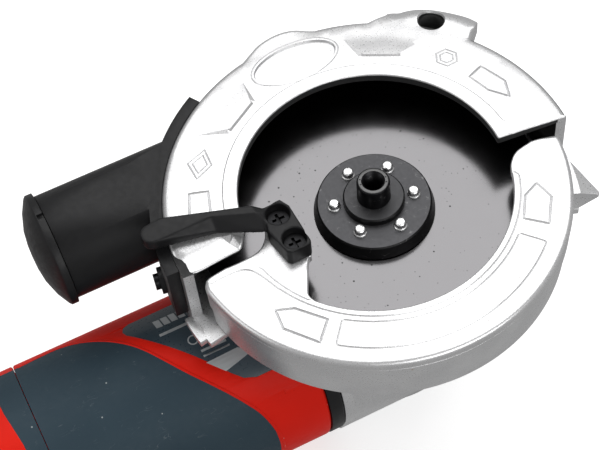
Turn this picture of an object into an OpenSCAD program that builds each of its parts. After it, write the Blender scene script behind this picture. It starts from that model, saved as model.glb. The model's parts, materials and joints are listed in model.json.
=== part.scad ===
// Twin-blade hand saw of the angle-grinder layout, blades off.
// Origin: spindle axis at the face of the pin flange. +Z leaves the disc side,
// +X is the nose of the tool, and the motor body lies along -X.

/* [Guard] */
// Outer radius of the fixed guard
guard_r = 75.4; // [74:0.2:78]
// Radius of the opening over the blades
guard_open_r = 48.2; // [46:0.1:49]
// Thickness of the fixed guard's side wall
guard_wall = 4; // [3:0.5:4]
// Lower edge of the fixed guard's side wall
guard_low_z = -19; // [-19:0.5:-18]
// Sector that the fixed guard covers, in degrees from +X
guard_from = -5.5; // [-6:0.5:-4]
guard_to = 182; // [180:0.5:183]
// Radius of the auxiliary handle's thread
aux_thread_r = 4.25; // [3.4:0.05:4.25]

/* [Retractable guard] */
// Largest radius of the retractable guard
swing_r = 70.6; // [70:0.1:70.8]
// Radius of its inner edge
swing_open_r = 49.6; // [49.5:0.1:51]
// Sector that it covers when closed, in degrees from +X
swing_from = -175.3; // [-176:0.1:-175]
swing_to = -8; // [-12:0.5:-8]
// Radius of the collar that it turns on
collar_r = 30; // [29:0.5:31]

/* [Spindle] */
// Radius of the flange's front edge
flange_r = 20.75; // [19:0.25:21]
// Radius of the blade pilot
pilot_r = 11.1; // [11.1:0.05:11.15]
// Height of the blade pilot
pilot_h = 3; // [2:0.5:4]
// Radius of the centre post
post_r = 6; // [5.5:0.1:6.2]
// Height of the centre post above the flange
post_h = 12.2; // [10:0.1:14]
// Radius of the post's thread
post_thread_r = 3.4; // [2.5:0.1:3.4]
// Radius of a drive pin
pin_r = 2.05; // [1.8:0.05:2.2]
// Pitch circle radius of the drive pins
pin_circle_r = 14.5; // [14.2:0.1:15]
// Number of drive pins
pin_count = 6; // [4:1:6]
// Angle of the first drive pin, in degrees from +X
pin_turn = 42.7; // [0:0.1:60]

/* [Gears] */
// Teeth on each bevel wheel
wheel_teeth = 36; // [36:4:36]
// Teeth on the pinion
pinion_teeth = 9; // [9:1:9]
// Pitch radius of a bevel wheel at its outer edge
wheel_pitch_r = 27; // [26.5:0.5:27]

/* [Body] */
// Height of the motor axis
motor_z = -74; // [-74:0.5:-73]
// Outer radius of the motor housing
body_r = 37.4; // [37:0.1:37.6]
// Front end of the motor housing
body_front_x = -39.5; // [-40:0.5:-39]
// Seam between motor housing and rear handle
seam_x = -140.5; // [-142:0.5:-140]
// Rear end of the handle
tail_x = -312; // [-320:1:-305]
// Foot of the gear head that the tool lies on
foot_z = -111.6; // [-112:0.1:-111.5]

/* [Dust outlet] */
// Outer radius of the duct tube
duct_r = 20; // [20:0.5:21]
// Inner radius of the duct tube
duct_bore_r = 17; // [17:0.5:17.5]
// Where the tube ends, from the spindle axis
duct_end = 108.8; // [108:0.2:114]

/* [Hidden] */
$fn = 96;

cast = [0.86, 0.86, 0.87];
black = [0.13, 0.13, 0.14];
red = [0.78, 0.13, 0.09];
slate = [0.24, 0.29, 0.33];
steel = [0.62, 0.63, 0.65];
copper = [0.72, 0.42, 0.22];

cut = 0.5;              // how far a cutting solid runs past what it cuts
play = 0.05;            // radial clearance of a running fit
rim_band_r = 53.5;      // outer edge of the raised band round the opening
plate_low_z = 8;        // underside of the fixed guard's top plate
swing_top_z = 7;        // top of the retractable guard
swing_low_z = -17.5;    // underside of the retractable guard
floor_z = -5.6;         // top of the floor plate
collar_top_z = -7.6;   // top of the guard base's collar
base_top_z = guard_low_z;
base_low_z = -22;
cover_top_z = -26;
cover_low_z = -52;
flange_low_z = -5;      // underside of the blade flange
spindle_r = 10;         // hollow spindle, outside
spindle_bore_r = 7;     // hollow spindle, inside
spindle_low_z = -66;
cavity_r = 29.3;
cavity_low_z = -91.2;
baffle_front_x = -33.7;
ring_screw_r = 73.4;    // circle of the screws under the fixed guard's wall
lock_z = -61.5;
handle_wall = 2.8;
seam_groove = 0.5;      // chamfer on each side of the seam
tooth_gap = pinion_teeth / wheel_teeth;
lug = [54.6, 56.8];     // auxiliary handle's lug
duct_root = [-57.3, 41.6];
duct_z = -7;
duct_from = -8;         // from the root to where the tube starts
duct_length = duct_end + duct_root[0];

function polar(r, a) = [r * cos(a), r * sin(a)];
function arc(r, a, b, n) = [for (i = [0:n]) polar(r, a + (b - a) * i / n)];
function shift(p, d) = [for (q = p) q + d];

// A solid of revolution about Z between two angles, from its half section
module sector(profile, a, b) {
    rotate([0, 0, a]) rotate_extrude(angle = b - a) polygon(profile);
}

module ring(r_out, r_in, low, high) {
    difference() {
        translate([0, 0, low]) cylinder(r = r_out, h = high - low);
        translate([0, 0, low - cut]) cylinder(r = r_in, h = high - low + 2 * cut);
    }
}

// Everything on the motor axis is drawn along +Z and laid along +X
module on_motor_axis() {
    translate([0, 0, motor_z]) rotate([0, 90, 0]) children();
}

module rod_x(x_low, x_high, r) {
    on_motor_axis() translate([0, 0, x_low]) cylinder(r = r, h = x_high - x_low);
}

module tube_x(x_low, x_high, r_out, r_in) {
    on_motor_axis() ring(r_out, r_in, x_low, x_high);
}

// Along the duct, from its root, with local +Z pointing out of the tool
module along_duct() {
    translate([duct_root[0], duct_root[1], duct_z]) rotate([0, -90, 0]) children();
}

// A pan-head screw whose head sits on z = 0 and whose shank runs down
module screw(head_r, head_h, shank_r, shank_l) {
    slot_w = head_r * 0.28;
    difference() {
        union() {
            cylinder(r = head_r, h = head_h);
            translate([0, 0, -shank_l]) cylinder(r = shank_r, h = shank_l + cut);
        }
        for (turn = [0, 90])
            rotate([0, 0, turn]) translate([-head_r * 0.6, -slot_w / 2, head_h * 0.45])
                cube([head_r * 1.2, slot_w, head_h]);
    }
}

// A ball bearing standing on z = 0: two races and a ring of balls
module ball_bearing(bore_r, out_r, width, balls) {
    race = (out_r - bore_r) * 0.27;
    ball_r = (out_r - bore_r) * 0.23 - 0.1;
    ring(bore_r + race, bore_r + play, 0, width);
    ring(out_r, out_r - race, 0, width);
    for (i = [0:balls - 1])
        rotate([0, 0, i * 360 / balls]) translate([(bore_r + out_r) / 2, 0, width / 2])
            sphere(r = ball_r, $fn = 32);
}

// A coil drawn as stacked turns standing on z = 0
module coil(mean_r, wire_r, turns, height) {
    pitch = (height - 2 * wire_r) / (turns - 1);
    for (i = [0:turns - 1])
        translate([0, 0, wire_r + i * pitch]) rotate_extrude() translate([mean_r, 0])
            circle(r = wire_r, $fn = 24);
}

// ---- guard ----

module lobe_outline() {
    polygon(concat(arc(guard_r - guard_wall, 103, 78, 6), [polar(73.6, 76)], [polar(73.6, 66)],
        [polar(78.5, 57.8)], [polar(81.7, 54)], [polar(84.2, 49.6)], [polar(84.6, 38)],
        [polar(82.8, 34.6)], [polar(74.5, 31)], [polar(68, 34)], [polar(68, 60)], [polar(68, 80)]));
}

module upper_guard() {
    lug_low_z = -8;
    lug_top_z = 9.8;
    lobe_low_z = 1;
    color(cast) difference() {
        union() {
            sector([[guard_open_r, plate_low_z], [guard_open_r, 11.2], [guard_open_r + 0.5, 11.5],
                    [rim_band_r, 11.5], [rim_band_r + 0.5, 10.9], [72.4, 10.3], [74.4, 9.6],
                    [guard_r, 7.6], [guard_r, guard_low_z], [guard_r - guard_wall, guard_low_z],
                    [guard_r - guard_wall, plate_low_z]], guard_from, guard_to);
            translate([0, 0, lobe_low_z]) linear_extrude(lug_top_z - lobe_low_z) lobe_outline();
            // round hump behind the oval recess
            intersection() {
                translate([0, 34, lobe_low_z]) cylinder(r = 46, h = lug_top_z - lobe_low_z);
                sector([[70, lobe_low_z], [82, lobe_low_z], [82, lug_top_z], [70, lug_top_z]], 76, 104);
            }
            translate([lug[0], lug[1], lug_low_z]) cylinder(r = 8.6, h = lug_top_z - lug_low_z);
        }
        // room for the blades and for the retractable guard
        translate([0, 0, guard_low_z - cut])
            cylinder(r = guard_r - guard_wall, h = plate_low_z - guard_low_z + cut);
        // auxiliary handle's thread, with a lead-in
        translate([lug[0], lug[1], lug_low_z - cut]) cylinder(r = aux_thread_r, h = 30);
        translate([lug[0], lug[1], lug_top_z - 1.2])
            cylinder(r1 = aux_thread_r, r2 = aux_thread_r + 1.3, h = 1.3);
        // oval recess
        translate([0, 63.1, 9.5]) linear_extrude(3) intersection() {
            translate([0, -11.7]) circle(r = 20.2);
            translate([0, 11.7]) circle(r = 20.2);
            square([31, 17], center = true);
        }
        // dust port
        along_duct() translate([-9, -13, -13]) cube([20, 26, 36]);
        guard_screw_places() translate([0, 0, guard_low_z - cut]) cylinder(r = 1.3, h = 12 + cut);
        duct_screw_place() translate([0, 0, -6]) cylinder(r = 1.55, h = 10);
    }
}

module guard_screw_places() {
    for (turn = [4, 50, 96, 128, 178])
        rotate([0, 0, turn]) translate([ring_screw_r, 0, 0]) children();
}

module guard_screws() {
    color(steel) guard_screw_places()
        translate([0, 0, base_low_z]) rotate([180, 0, 0]) screw(2.6, 1.8, 1.25, 13);
}

// The plate under the guards: wide under the fixed guard, with a short tail past its rear end
module base_plate() {
    tail_r = 78;
    narrow_r = 66;
    low = base_low_z - cut;
    top = base_top_z + cut;
    difference() {
        translate([0, 0, base_low_z]) cylinder(r = tail_r, h = base_top_z - base_low_z);
        sector([[guard_r, low], [tail_r + 1, low], [tail_r + 1, top], [guard_r, top]], 189.5, 541);
        sector([[narrow_r, low], [tail_r + 2, low], [tail_r + 2, top], [narrow_r, top]], 191.5, 338);
    }
}

module guard_base() {
    bearing_r = 18.5;
    fin_low_z = -21.4;
    color(cast) difference() {
        union() {
            base_plate();
            translate([0, 0, base_low_z + 1]) cylinder(r = collar_r, h = collar_top_z - base_low_z - 1);
            translate([0, 0, cover_top_z]) cylinder(r = 33, h = base_low_z - cover_top_z + 1);
            // wall under the fixed guard's front end, and the pointed front fin
            sector([[guard_r - guard_wall, fin_low_z], [guard_r - 0.1, fin_low_z], [guard_r - 0.1, -9],
                    [guard_r - guard_wall, -9]], -21.8, guard_from);
            hull() {
                rotate([0, 0, -21.2]) translate([81.6, 0, -13]) cylinder(r = 0.8, h = 2, $fn = 24);
                rotate([0, 0, -7]) translate([guard_r - 1.6, 0, fin_low_z])
                    cylinder(r = 0.9, h = 11, $fn = 24);
                rotate([0, 0, -20.6]) translate([guard_r - 2, 0, fin_low_z])
                    cylinder(r = 0.9, h = 12, $fn = 24);
            }
        }
        translate([0, 0, -24]) cylinder(r = bearing_r, h = 9);
        translate([0, 0, cover_top_z - cut]) cylinder(r = 17.5, h = 3);
        translate([0, 0, -15 - cut]) cylinder(r = 13.5, h = 3.6 + cut);
        translate([0, 0, -14]) cylinder(r = spindle_r + 0.8, h = 8);
        // groove for the retaining ring
        ring(collar_r + cut, 28.8, -14.6, -13.3);
        for (turn = [45:90:315])
            rotate([0, 0, turn]) translate([23.6, 0, 0]) {
                translate([0, 0, -16]) cylinder(r = 4.6, h = 10);
                translate([0, 0, cover_top_z - cut]) cylinder(r = 2.6, h = 12);
            }
        for (turn = [30:120:270])
            rotate([0, 0, turn]) translate([17, 0, collar_top_z - 2.5]) cylinder(r = 1.2, h = 4);
        guard_screw_places() translate([0, 0, base_low_z - cut]) cylinder(r = 1.5, h = 5);
    }
}

module base_screws() {
    color(steel) for (turn = [45:90:315])
        rotate([0, 0, turn]) translate([23.6, 0, -16]) screw(4.2, 3.6, 2.5, 22);
}

module moving_guard() {
    hub_out_r = 36.5;
    floor_t = 2.8;
    color(cast) difference() {
        union() {
            sector([[swing_open_r, 4.5], [swing_open_r, swing_top_z], [swing_r - 1.5, swing_top_z],
                    [swing_r, 5.6], [swing_r, 2.7], [swing_r - 0.4, 2.7], [swing_r - 0.4, -5.2],
                    [swing_r - 1, -5.2], [swing_r - 1, swing_low_z], [34, swing_low_z],
                    [34, swing_low_z + floor_t], [66.4, swing_low_z + floor_t], [66.4, 4.5]],
                   swing_from, swing_to);
            ring(hub_out_r, collar_r + play, swing_low_z + 0.1, swing_low_z + floor_t - 0.1);
            // tab that carries the lever
            translate([0, 0, 4.5]) linear_extrude(swing_top_z - 4.5) tab_outline();
            translate([0, 0, swing_top_z - cut]) linear_extrude(1 + cut) tab_pad_outline();
        }
        lever_screw_places() translate([0, 0, 4]) cylinder(r = 1.7, h = 6);
    }
}

module tab_outline() {
    polygon(concat(arc(50.6, -174.6, -141, 8),
        [polar(48, -143.5), [-38.6, -25.5], [-34.6, -17.5], [-31.8, -15.2], [-31.8, 5.5], [-40.6, 5.8],
         [-43.3, -0.5], [-47.7, -2.9]]));
}

module tab_pad_outline() {
    polygon([[-34.6, -17.5], [-31.8, -15.2], [-31.8, 5.5], [-40.4, 5.8], [-42.6, -3], [-41.6, -12],
             [-38, -20]]);
}

module lever_screw_places() {
    for (p = [[-36.6, 1.3], [-35.8, -10.3]]) translate(p) children();
}

module lever_station(x, y_far, y_near, y_foot, low, top) {
    translate([x, 0, 0]) rotate([90, 0, 90]) linear_extrude(0.4)
        polygon([[y_far, low], [y_far, top - 0.6], [y_far - 0.7, top], [y_near, top], [y_foot, low + 1.5],
                 [y_foot, low]]);
}

module guard_lever() {
    arm_low = 12.4;
    arm_top = 18;
    block_low = 8;
    block_top = 16;
    color(black) difference() {
        union() {
            translate([0, 0, block_low]) linear_extrude(block_top - block_low)
                polygon([[-39.2, -15.2], [-32, -15], [-31.1, -13.8], [-31.5, 2.8], [-33.4, 6.6],
                         [-40.4, 5.9], [-42.6, -3.5], [-40.6, -14]]);
            hull() {
                lever_station(-44, 8, 4.2, -1, arm_low, arm_top);
                lever_station(-40, 5.8, 3, -2.5, arm_low, block_top);
            }
            hull() {
                lever_station(-58, 12.9, 10.2, 6.2, arm_low, arm_top);
                lever_station(-44, 8, 4.2, -1, arm_low, arm_top);
            }
            hull() {
                lever_station(-58, 12.9, 10.2, 6.2, arm_low, arm_top);
                lever_station(-74, 18.6, 15.4, 10.2, arm_low, arm_top);
                translate([-78.6, 14.4, arm_low]) cylinder(r = 4, h = 4.8, $fn = 32);
            }
        }
        lever_screw_places() {
            translate([0, 0, 12.6]) cylinder(r = 4.3, h = 6);
            translate([0, 0, block_low - cut]) cylinder(r = 2.2, h = 3);
            translate([0, 0, 10.2]) cylinder(r = 3.95, h = 4);
        }
    }
}

module lever_screws() {
    color(steel) lever_screw_places() translate([0, 0, 10.2]) screw(3.8, 2.4, 1.65, 5.4);
}

module guard_spring() {
    color(steel) translate([0, 0, -14.4]) coil(35.2, 0.65, 2, 2.75);
}

module guard_retaining_ring() {
    color(steel) difference() {
        ring(33, 28.9, -14.5, -13.4);
        translate([26, -3, -15]) cube([10, 6, 3]);
    }
}

module floor_plate() {
    color(black) difference() {
        ring(64, 12, collar_top_z, floor_z);
        for (turn = [30:120:270])
            rotate([0, 0, turn]) translate([17, 0, collar_top_z - cut]) {
                cylinder(r = 1.6, h = 4);
                translate([0, 0, cut + 0.6]) cylinder(r1 = 1.6, r2 = 3, h = 1.41);
            }
    }
}

module floor_plate_screws() {
    color(steel) for (turn = [30:120:270])
        rotate([0, 0, turn]) translate([17, 0, 0]) {
            translate([0, 0, collar_top_z - 2.4]) cylinder(r = 1.15, h = 3.5);
            translate([0, 0, collar_top_z + 0.6]) cylinder(r1 = 1.3, r2 = 2.7, h = 1.3);
        }
}

// ---- dust outlet ----

module dust_duct() {
    saddle_out_r = 80;
    saddle_in_r = guard_r + 0.1;
    slope = 0.28;
    roof = 2.2;
    color(black) difference() {
        union() {
            sector([[saddle_in_r, -18.5], [saddle_out_r, -18.5], [saddle_out_r, 10], [saddle_in_r, 10]],
                   121, 179.5);
            difference() {
                along_duct() translate([0, 0, duct_from]) cylinder(r = duct_r, h = duct_length - duct_from);
                translate([0, 0, -40]) cylinder(r = saddle_in_r + 0.2, h = 60);
            }
            duct_screw_place() translate([0, 0, 1]) cylinder(r = 5, h = 5.2);
        }
        difference() {
            along_duct() translate([0, 0, -12]) cylinder(r = duct_bore_r, h = 90);
            duct_slope(saddle_out_r + 0.5, 9 - roof, slope);
        }
        translate([0, 0, -40]) cylinder(r = saddle_in_r, h = 60);
        // the saddle ends at its top height, and the tube slopes down to it
        duct_slope(saddle_out_r + 0.5, 9, slope);
        duct_screw_place() translate([0, 0, -8]) cylinder(r = 1.6, h = 20);
    }
}

// All that lies above a cone that rises outward from a height
module duct_slope(from_r, low, slope) {
    far_r = 130;
    sector([[70, low], [from_r, low], [far_r, low + (far_r - from_r) * slope], [far_r, 60], [70, 60]],
           115, 200);
}

module duct_screw_place() {
    rotate([0, 0, 171]) translate([guard_r, 0, -11]) rotate([0, 90, 0]) children();
}

module duct_screw() {
    color(steel) duct_screw_place() translate([0, 0, 6.25]) screw(3, 1.8, 1.5, 9.5);
}

module dust_cap() {
    rim_r = 21.5;
    gap = 0.3;
    color(black) along_duct() difference() {
        union() {
            translate([0, 0, duct_length + gap]) rotate_extrude()
                polygon([[0, 0], [rim_r, 0], [rim_r, 2.6], [20.6, 3.4], [16, 5.9], [10, 7.9], [5, 8.6],
                         [0, 8.8]]);
            translate([0, 0, duct_length - 7]) cylinder(r = duct_bore_r - 0.3, h = 8);
        }
        translate([0, 0, duct_length - 7 - cut]) cylinder(r = duct_bore_r - 2.3, h = 9.5);
        // bayonet mark in the rim
        translate([rim_r - 1.6, -1.1, duct_length]) cube([4, 2.2, 2.6]);
    }
}

module rounded_bar(half_w, low, high, corner, x_low, x_high) {
    mid = (low + high) / 2;
    half_h = (high - low) / 2;
    translate([x_low, 0, mid]) rotate([90, 0, 90]) linear_extrude(x_high - x_low) {
        square([2 * (half_w - corner), 2 * half_h], center = true);
        square([2 * half_w, 2 * (half_h - corner)], center = true);
        for (sx = [-1, 1], sy = [-1, 1])
            translate([sx * (half_w - corner), sy * (half_h - corner)]) circle(r = corner);
    }
}

module head_screw_places() {
    for (side = [-1, 1]) {
        translate([baffle_front_x + 4, side * 26.5, -52.6]) rotate([0, 90, 0]) children();
        translate([baffle_front_x + 4, side * 18, -102.6]) rotate([0, 90, 0]) children();
    }
}

module gear_head() {
    barrel_r = 32.6;
    barrel_low_z = -95;
    foot_r = 20;
    color(cast) difference() {
        union() {
            translate([0, 0, barrel_low_z]) cylinder(r = barrel_r, h = cover_low_z - barrel_low_z);
            translate([0, 0, foot_z]) cylinder(r1 = foot_r, r2 = barrel_r, h = barrel_low_z - foot_z);
            intersection() {
                rounded_bar(32.6, -109, -36, 19, baffle_front_x, 2);
                translate([-60, -60, foot_z]) cube([120, 120, cover_low_z - foot_z]);
            }
            intersection() {
                rod_x(baffle_front_x, baffle_front_x + 4, body_r - 0.4);
                translate([-60, -60, foot_z]) cube([120, 120, 80]);
            }
            rod_x(-46, baffle_front_x, 33.6);
            // boss of the spindle lock
            translate([0, 0, lock_z]) rotate([-90, 0, 0]) translate([0, 0, 28]) cylinder(r = 9, h = 8);
        }
        // gear room, open at the top
        translate([0, 0, cavity_low_z]) cylinder(r = cavity_r, h = 60);
        // top corner in front of the rear flange is taken by the cover
        translate([baffle_front_x + 4, -60, cover_low_z]) cube([90, 120, 40]);
        rod_x(-60, -20, 12.5);
        rod_x(-47, -35, 15);
        translate([0, 0, -106]) cylinder(r = 16, h = 20);
        head_screw_places() {
            translate([0, 0, -20]) cylinder(r = 2.1, h = 21);
            translate([-4.4, -4.4, 0]) cube([8.8, 8.8, 24]);
        }
        for (turn = [45:90:315])
            rotate([0, 0, turn]) translate([31.1, 0, cover_low_z - 12]) cylinder(r = 1.3, h = 13);
        translate([0, 0, lock_z]) rotate([-90, 0, 0]) {
            translate([0, 0, 24]) cylinder(r = 4 + play, h = 20);
            translate([0, 0, 32.6]) cylinder(r = 6.2, h = 6);
        }
    }
}

module gear_cover() {
    color(cast) difference() {
        translate([0, 0, cover_low_z]) cylinder(r = 32.6, h = cover_top_z - cover_low_z);
        translate([0, 0, cover_low_z - cut]) cylinder(r = 21, h = 14 + cut);
        translate([0, 0, cover_low_z]) cylinder(r = 17.5, h = 40);
        ring(22.3, 20, -51.4, -50.1);
        translate([-60, -60, cover_low_z - cut]) cube([60 + baffle_front_x + 4.1, 120, 40]);
        for (turn = [45:90:315])
            rotate([0, 0, turn]) translate([23.6, 0, -38.5]) cylinder(r = 2.55, h = 20);
    }
}

module bearing_circlip() {
    color(steel) difference() {
        ring(22.1, 18.6, -51.35, -50.15);
        translate([16, -3, -52]) cube([10, 6, 3]);
    }
}

module gear_head_screws() {
    color(steel) head_screw_places() screw(3.9, 3, 2, 18);
}

module air_baffle() {
    color(black) difference() {
        on_motor_axis() rotate_extrude()
            polygon([[33.7, body_front_x], [body_r, body_front_x], [body_r, -34.6], [body_r - 0.8, -33.9],
                     [33.7, -33.9]]);
        for (turn = [50:10:130])
            translate([0, 0, motor_z]) rotate([-turn + 90, 0, 0])
                translate([-38.2, 30, -1.4]) cube([2.6, 10, 2.8]);
        head_screw_places() translate([0, 0, -20]) cylinder(r = 2.1, h = 30);
    }
}

module spindle_lock_button() {
    color(black) translate([0, 0, lock_z]) rotate([-90, 0, 0]) {
        translate([0, 0, 31]) cylinder(r = 2.4, h = 4);
        translate([0, 0, 32.6]) cylinder(r = 4, h = 8);
        translate([0, 0, 39.6]) cylinder(r = 8, h = 3);
        translate([0, 0, 42.6]) cylinder(r1 = 8, r2 = 7, h = 1);
    }
}

module spindle_lock_spring() {
    color(steel) translate([0, 0, lock_z]) rotate([-90, 0, 0]) translate([0, 0, 32.7])
        coil(5.2, 0.5, 5, 6.8);
}

// ---- spindles and gears ----

module pin_flange() {
    color(black) rotate_extrude()
        polygon([[spindle_bore_r, spindle_low_z], [spindle_r, spindle_low_z], [spindle_r, flange_low_z],
                 [flange_r + 1.25, flange_low_z], [flange_r, -0.5], [flange_r - 0.5, 0], [pilot_r, 0],
                 [pilot_r, pilot_h - 0.5], [pilot_r - 0.5, pilot_h], [post_r + play, pilot_h],
                 [post_r + play, -2], [spindle_bore_r, -2]]);
}

module drive_pins() {
    color(steel) for (i = [0:pin_count - 1])
        rotate([0, 0, i * 360 / pin_count + pin_turn]) translate([pin_circle_r, 0, 0]) rotate_extrude()
            polygon([[0, 0.02], [pin_r, 0.02], [pin_r, 1.6], [pin_r * 0.86, 2.2], [pin_r * 0.5, 2.7],
                     [0, 2.9]]);
}

module inner_spindle() {
    color(black) difference() {
        rotate_extrude()
            polygon([[0, -105.5], [post_r, -105.5], [post_r, post_h - 1], [post_r - 1, post_h], [0, post_h]]);
        translate([0, 0, post_h - 20]) cylinder(r = post_thread_r, h = 21);
        translate([0, 0, post_h - 0.6]) cylinder(r1 = post_thread_r, r2 = post_thread_r + 0.7, h = 0.61);
    }
}

// Height of the tooth tip, pitch line or root above the pinion's axis at radius r
function tooth_h(r, offset) = r * tooth_gap + offset * r / wheel_pitch_r;

// A bevel wheel above the pinion, teeth downwards; z = 0 is the pinion's axis
module bevel_wheel(bore_r, back_h, hub_r, hub_h, first_tooth) {
    inner_r = 19;
    tooth_in_r = 19.6;
    tip = -1.3;
    root = 1.7;
    tooth_angle = 360 / wheel_teeth * 0.37;
    rotate_extrude()
        polygon([[bore_r, tooth_h(inner_r, root) - 1], [inner_r - 2, tooth_h(inner_r, root) - 1],
                 [inner_r, tooth_h(inner_r, root)], [wheel_pitch_r + 0.6, tooth_h(wheel_pitch_r + 0.6, root)],
                 [wheel_pitch_r + 0.6, back_h], [hub_r, back_h], [hub_r, hub_h], [bore_r, hub_h]]);
    for (i = [0:wheel_teeth - 1])
        sector([[tooth_in_r, tooth_h(tooth_in_r, tip)], [wheel_pitch_r, tooth_h(wheel_pitch_r, tip)],
                [wheel_pitch_r, tooth_h(wheel_pitch_r, root) + 0.6],
                [tooth_in_r, tooth_h(tooth_in_r, root) + 0.6]],
               first_tooth + i * 360 / wheel_teeth - tooth_angle / 2,
               first_tooth + i * 360 / wheel_teeth + tooth_angle / 2);
}

module upper_bevel_gear() {
    half_pitch = 180 / wheel_teeth;
    color(steel) difference() {
        translate([0, 0, motor_z]) bevel_wheel(spindle_r, 16, 13.5, 21.5, 180 + half_pitch);
        for (turn = [0:90:270])
            translate([0, 0, lock_z]) rotate([-90, 0, turn]) translate([0, 0, 24.4])
                cylinder(r = 2.8, h = 6);
    }
}

module lower_bevel_gear() {
    color(steel) translate([0, 0, motor_z]) mirror([0, 0, 1]) bevel_wheel(post_r, 15, 11, 20.5, 180);
}

module pinion() {
    inner = 19.5;
    shaft_r = 2.5;
    tip = 1.3;
    root = -1.7;
    tooth_angle = 360 / pinion_teeth * 0.36;
    hub_end = 33.4;
    // local +Z points away from the wheels' axis, along -X
    color(steel) translate([0, 0, motor_z]) rotate([0, -90, 0]) {
        rotate_extrude()
            polygon([[shaft_r, inner], [tooth_h(inner, root), inner],
                     [tooth_h(wheel_pitch_r, root), wheel_pitch_r], [7.4, wheel_pitch_r + 1], [7.4, hub_end],
                     [shaft_r, hub_end]]);
        for (i = [0:pinion_teeth - 1])
            sector([[tooth_h(inner, root) - 0.3, inner], [tooth_h(inner, tip), inner],
                    [tooth_h(wheel_pitch_r, tip), wheel_pitch_r],
                    [tooth_h(wheel_pitch_r, tip) - 0.6, wheel_pitch_r + 1.1],
                    [tooth_h(wheel_pitch_r, root) - 0.3, wheel_pitch_r + 1.1]],
                   i * 360 / pinion_teeth - tooth_angle / 2, i * 360 / pinion_teeth + tooth_angle / 2);
    }
}

module outer_spindle_bearing() {
    color(steel) translate([0, 0, -24]) ball_bearing(spindle_r, 18.5, 9, 11);
}

module gear_side_bearing() {
    color(steel) translate([0, 0, -50]) ball_bearing(spindle_r, 21, 12, 9);
}

module lower_bearing() {
    color(steel) translate([0, 0, -106]) ball_bearing(post_r, 16, 10, 8);
}

module inner_bushes() {
    color(copper) {
        ring(spindle_bore_r, post_r + play, spindle_low_z + 2, spindle_low_z + 14);
        ring(spindle_bore_r, post_r + play, -14, -2.1);
    }
}

module spindle_seal() {
    color(black) ring(13.5, spindle_r + play, -14.9, -12.1);
}

// ---- motor ----

module grip_outline() {
    polygon([[seam_x - 1, 25.4], [-126, 26.4], [-119.4, 25.4], [-113.2, 22.3], [-106, 17], [-99.3, 10.4],
             [-94.6, 4.4], [-89.3, -3.7], [-84, -11.1], [-78.4, -17.5], [-72.8, -23.4], [-68.3, -28],
             [-65, -31.4], [-62.6, -34.6], [-60.4, -40], [seam_x - 1, -40]]);
}

module label_outline() {
    polygon([[-98.6, 17], [-97.6, 19.4], [-95, 20.6], [-50, 21], [-47, 18.6], [-47, -19.4], [-49.5, -22],
             [-61.5, -22], [-66, -20.6], [-69.5, -17.6], [-97.8, 14.6]]);
}

module through_body(low, high) {
    translate([0, 0, low]) linear_extrude(high - low) children();
}

module motor_housing() {
    inner_r = 33.9;
    edge_r = 2;
    seat_r = 30;
    color(red) difference() {
        union() {
            on_motor_axis() rotate_extrude()
                polygon(concat([[inner_r, seam_x], [body_r - seam_groove, seam_x],
                                [body_r, seam_x + seam_groove]],
                               shift(arc(edge_r, 0, 90, 6), [body_r - edge_r, body_front_x - edge_r]),
                               [[inner_r, body_front_x]]));
            // seats of the stator
            difference() {
                tube_x(-121, -73, inner_r + cut, seat_r);
                for (turn = [0:90:270])
                    translate([0, 0, motor_z]) rotate([turn + 45, 0, 0]) translate([-122, 6, -60])
                        cube([50, 120, 120]);
            }
            // rear bearing bridge
            tube_x(-152, -143.5, 14, 11);
            for (turn = [45:90:315])
                translate([0, 0, motor_z]) rotate([turn, 0, 0]) translate([-150, 12.5, -3])
                    cube([7, 20.9, 6]);
            tube_x(-150, seam_x, inner_r - 0.4, 31);
            for (turn = [45:90:315])
                translate([0, 0, motor_z]) rotate([turn, 0, 0]) translate([seam_x - 3, 31.4, -5])
                    cube([8, 3.2, 10]);
            // bosses of the head screws
            for (side = [-1, 1]) {
                translate([-54, side * 26.5, -52.6]) rotate([0, 90, 0]) cylinder(r = 3.6, h = 8);
                translate([-54, side * 18, -102.6]) rotate([0, 90, 0]) cylinder(r = 3.6, h = 8);
            }
        }
        intersection() {
            tube_x(seam_x - cut, body_front_x + cut, body_r + 2, body_r - 1);
            through_body(-130, -20) grip_outline();
        }
        intersection() {
            tube_x(-110, -40, body_r + 2, body_r - 0.3);
            through_body(motor_z, -20) label_outline();
        }
        head_screw_places() translate([0, 0, -20]) cylinder(r = 2.05, h = 30);
    }
}

module motor_grip() {
    color(slate) intersection() {
        tube_x(seam_x, body_front_x, body_r, body_r - 1);
        through_body(-130, -20) grip_outline();
    }
}

module rating_label() {
    color(slate) intersection() {
        tube_x(-110, -40, body_r, body_r - 0.3);
        through_body(motor_z, -20) label_outline();
    }
}

module armature_shaft() {
    color(steel) {
        rod_x(-33.5, -19, 2.5);
        rod_x(-125, -33.45, 5);
        rod_x(-152, -124.9, 4);
    }
}

module armature_core() {
    core_r = 17.5;
    slots = 12;
    color(steel) difference() {
        tube_x(-118, -76, core_r, 5);
        for (i = [0:slots - 1])
            translate([0, 0, motor_z]) rotate([i * 360 / slots, 0, 0]) translate([-119, 0, 0]) {
                translate([0, -1, 12]) cube([44, 2, 8]);
                translate([0, 0, 12]) rotate([0, 90, 0]) cylinder(r = 2.2, h = 44);
            }
    }
}

module armature_windings() {
    slots = 12;
    color(copper) {
        tube_x(-124, -118, 15.5, 5);
        tube_x(-76, -70.5, 15.5, 5);
        for (i = [0:slots - 1])
            translate([0, 0, motor_z]) rotate([i * 360 / slots, 0, 0]) translate([-118.5, 0, 12])
                rotate([0, 90, 0]) cylinder(r = 2.1, h = 43);
    }
}

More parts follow.
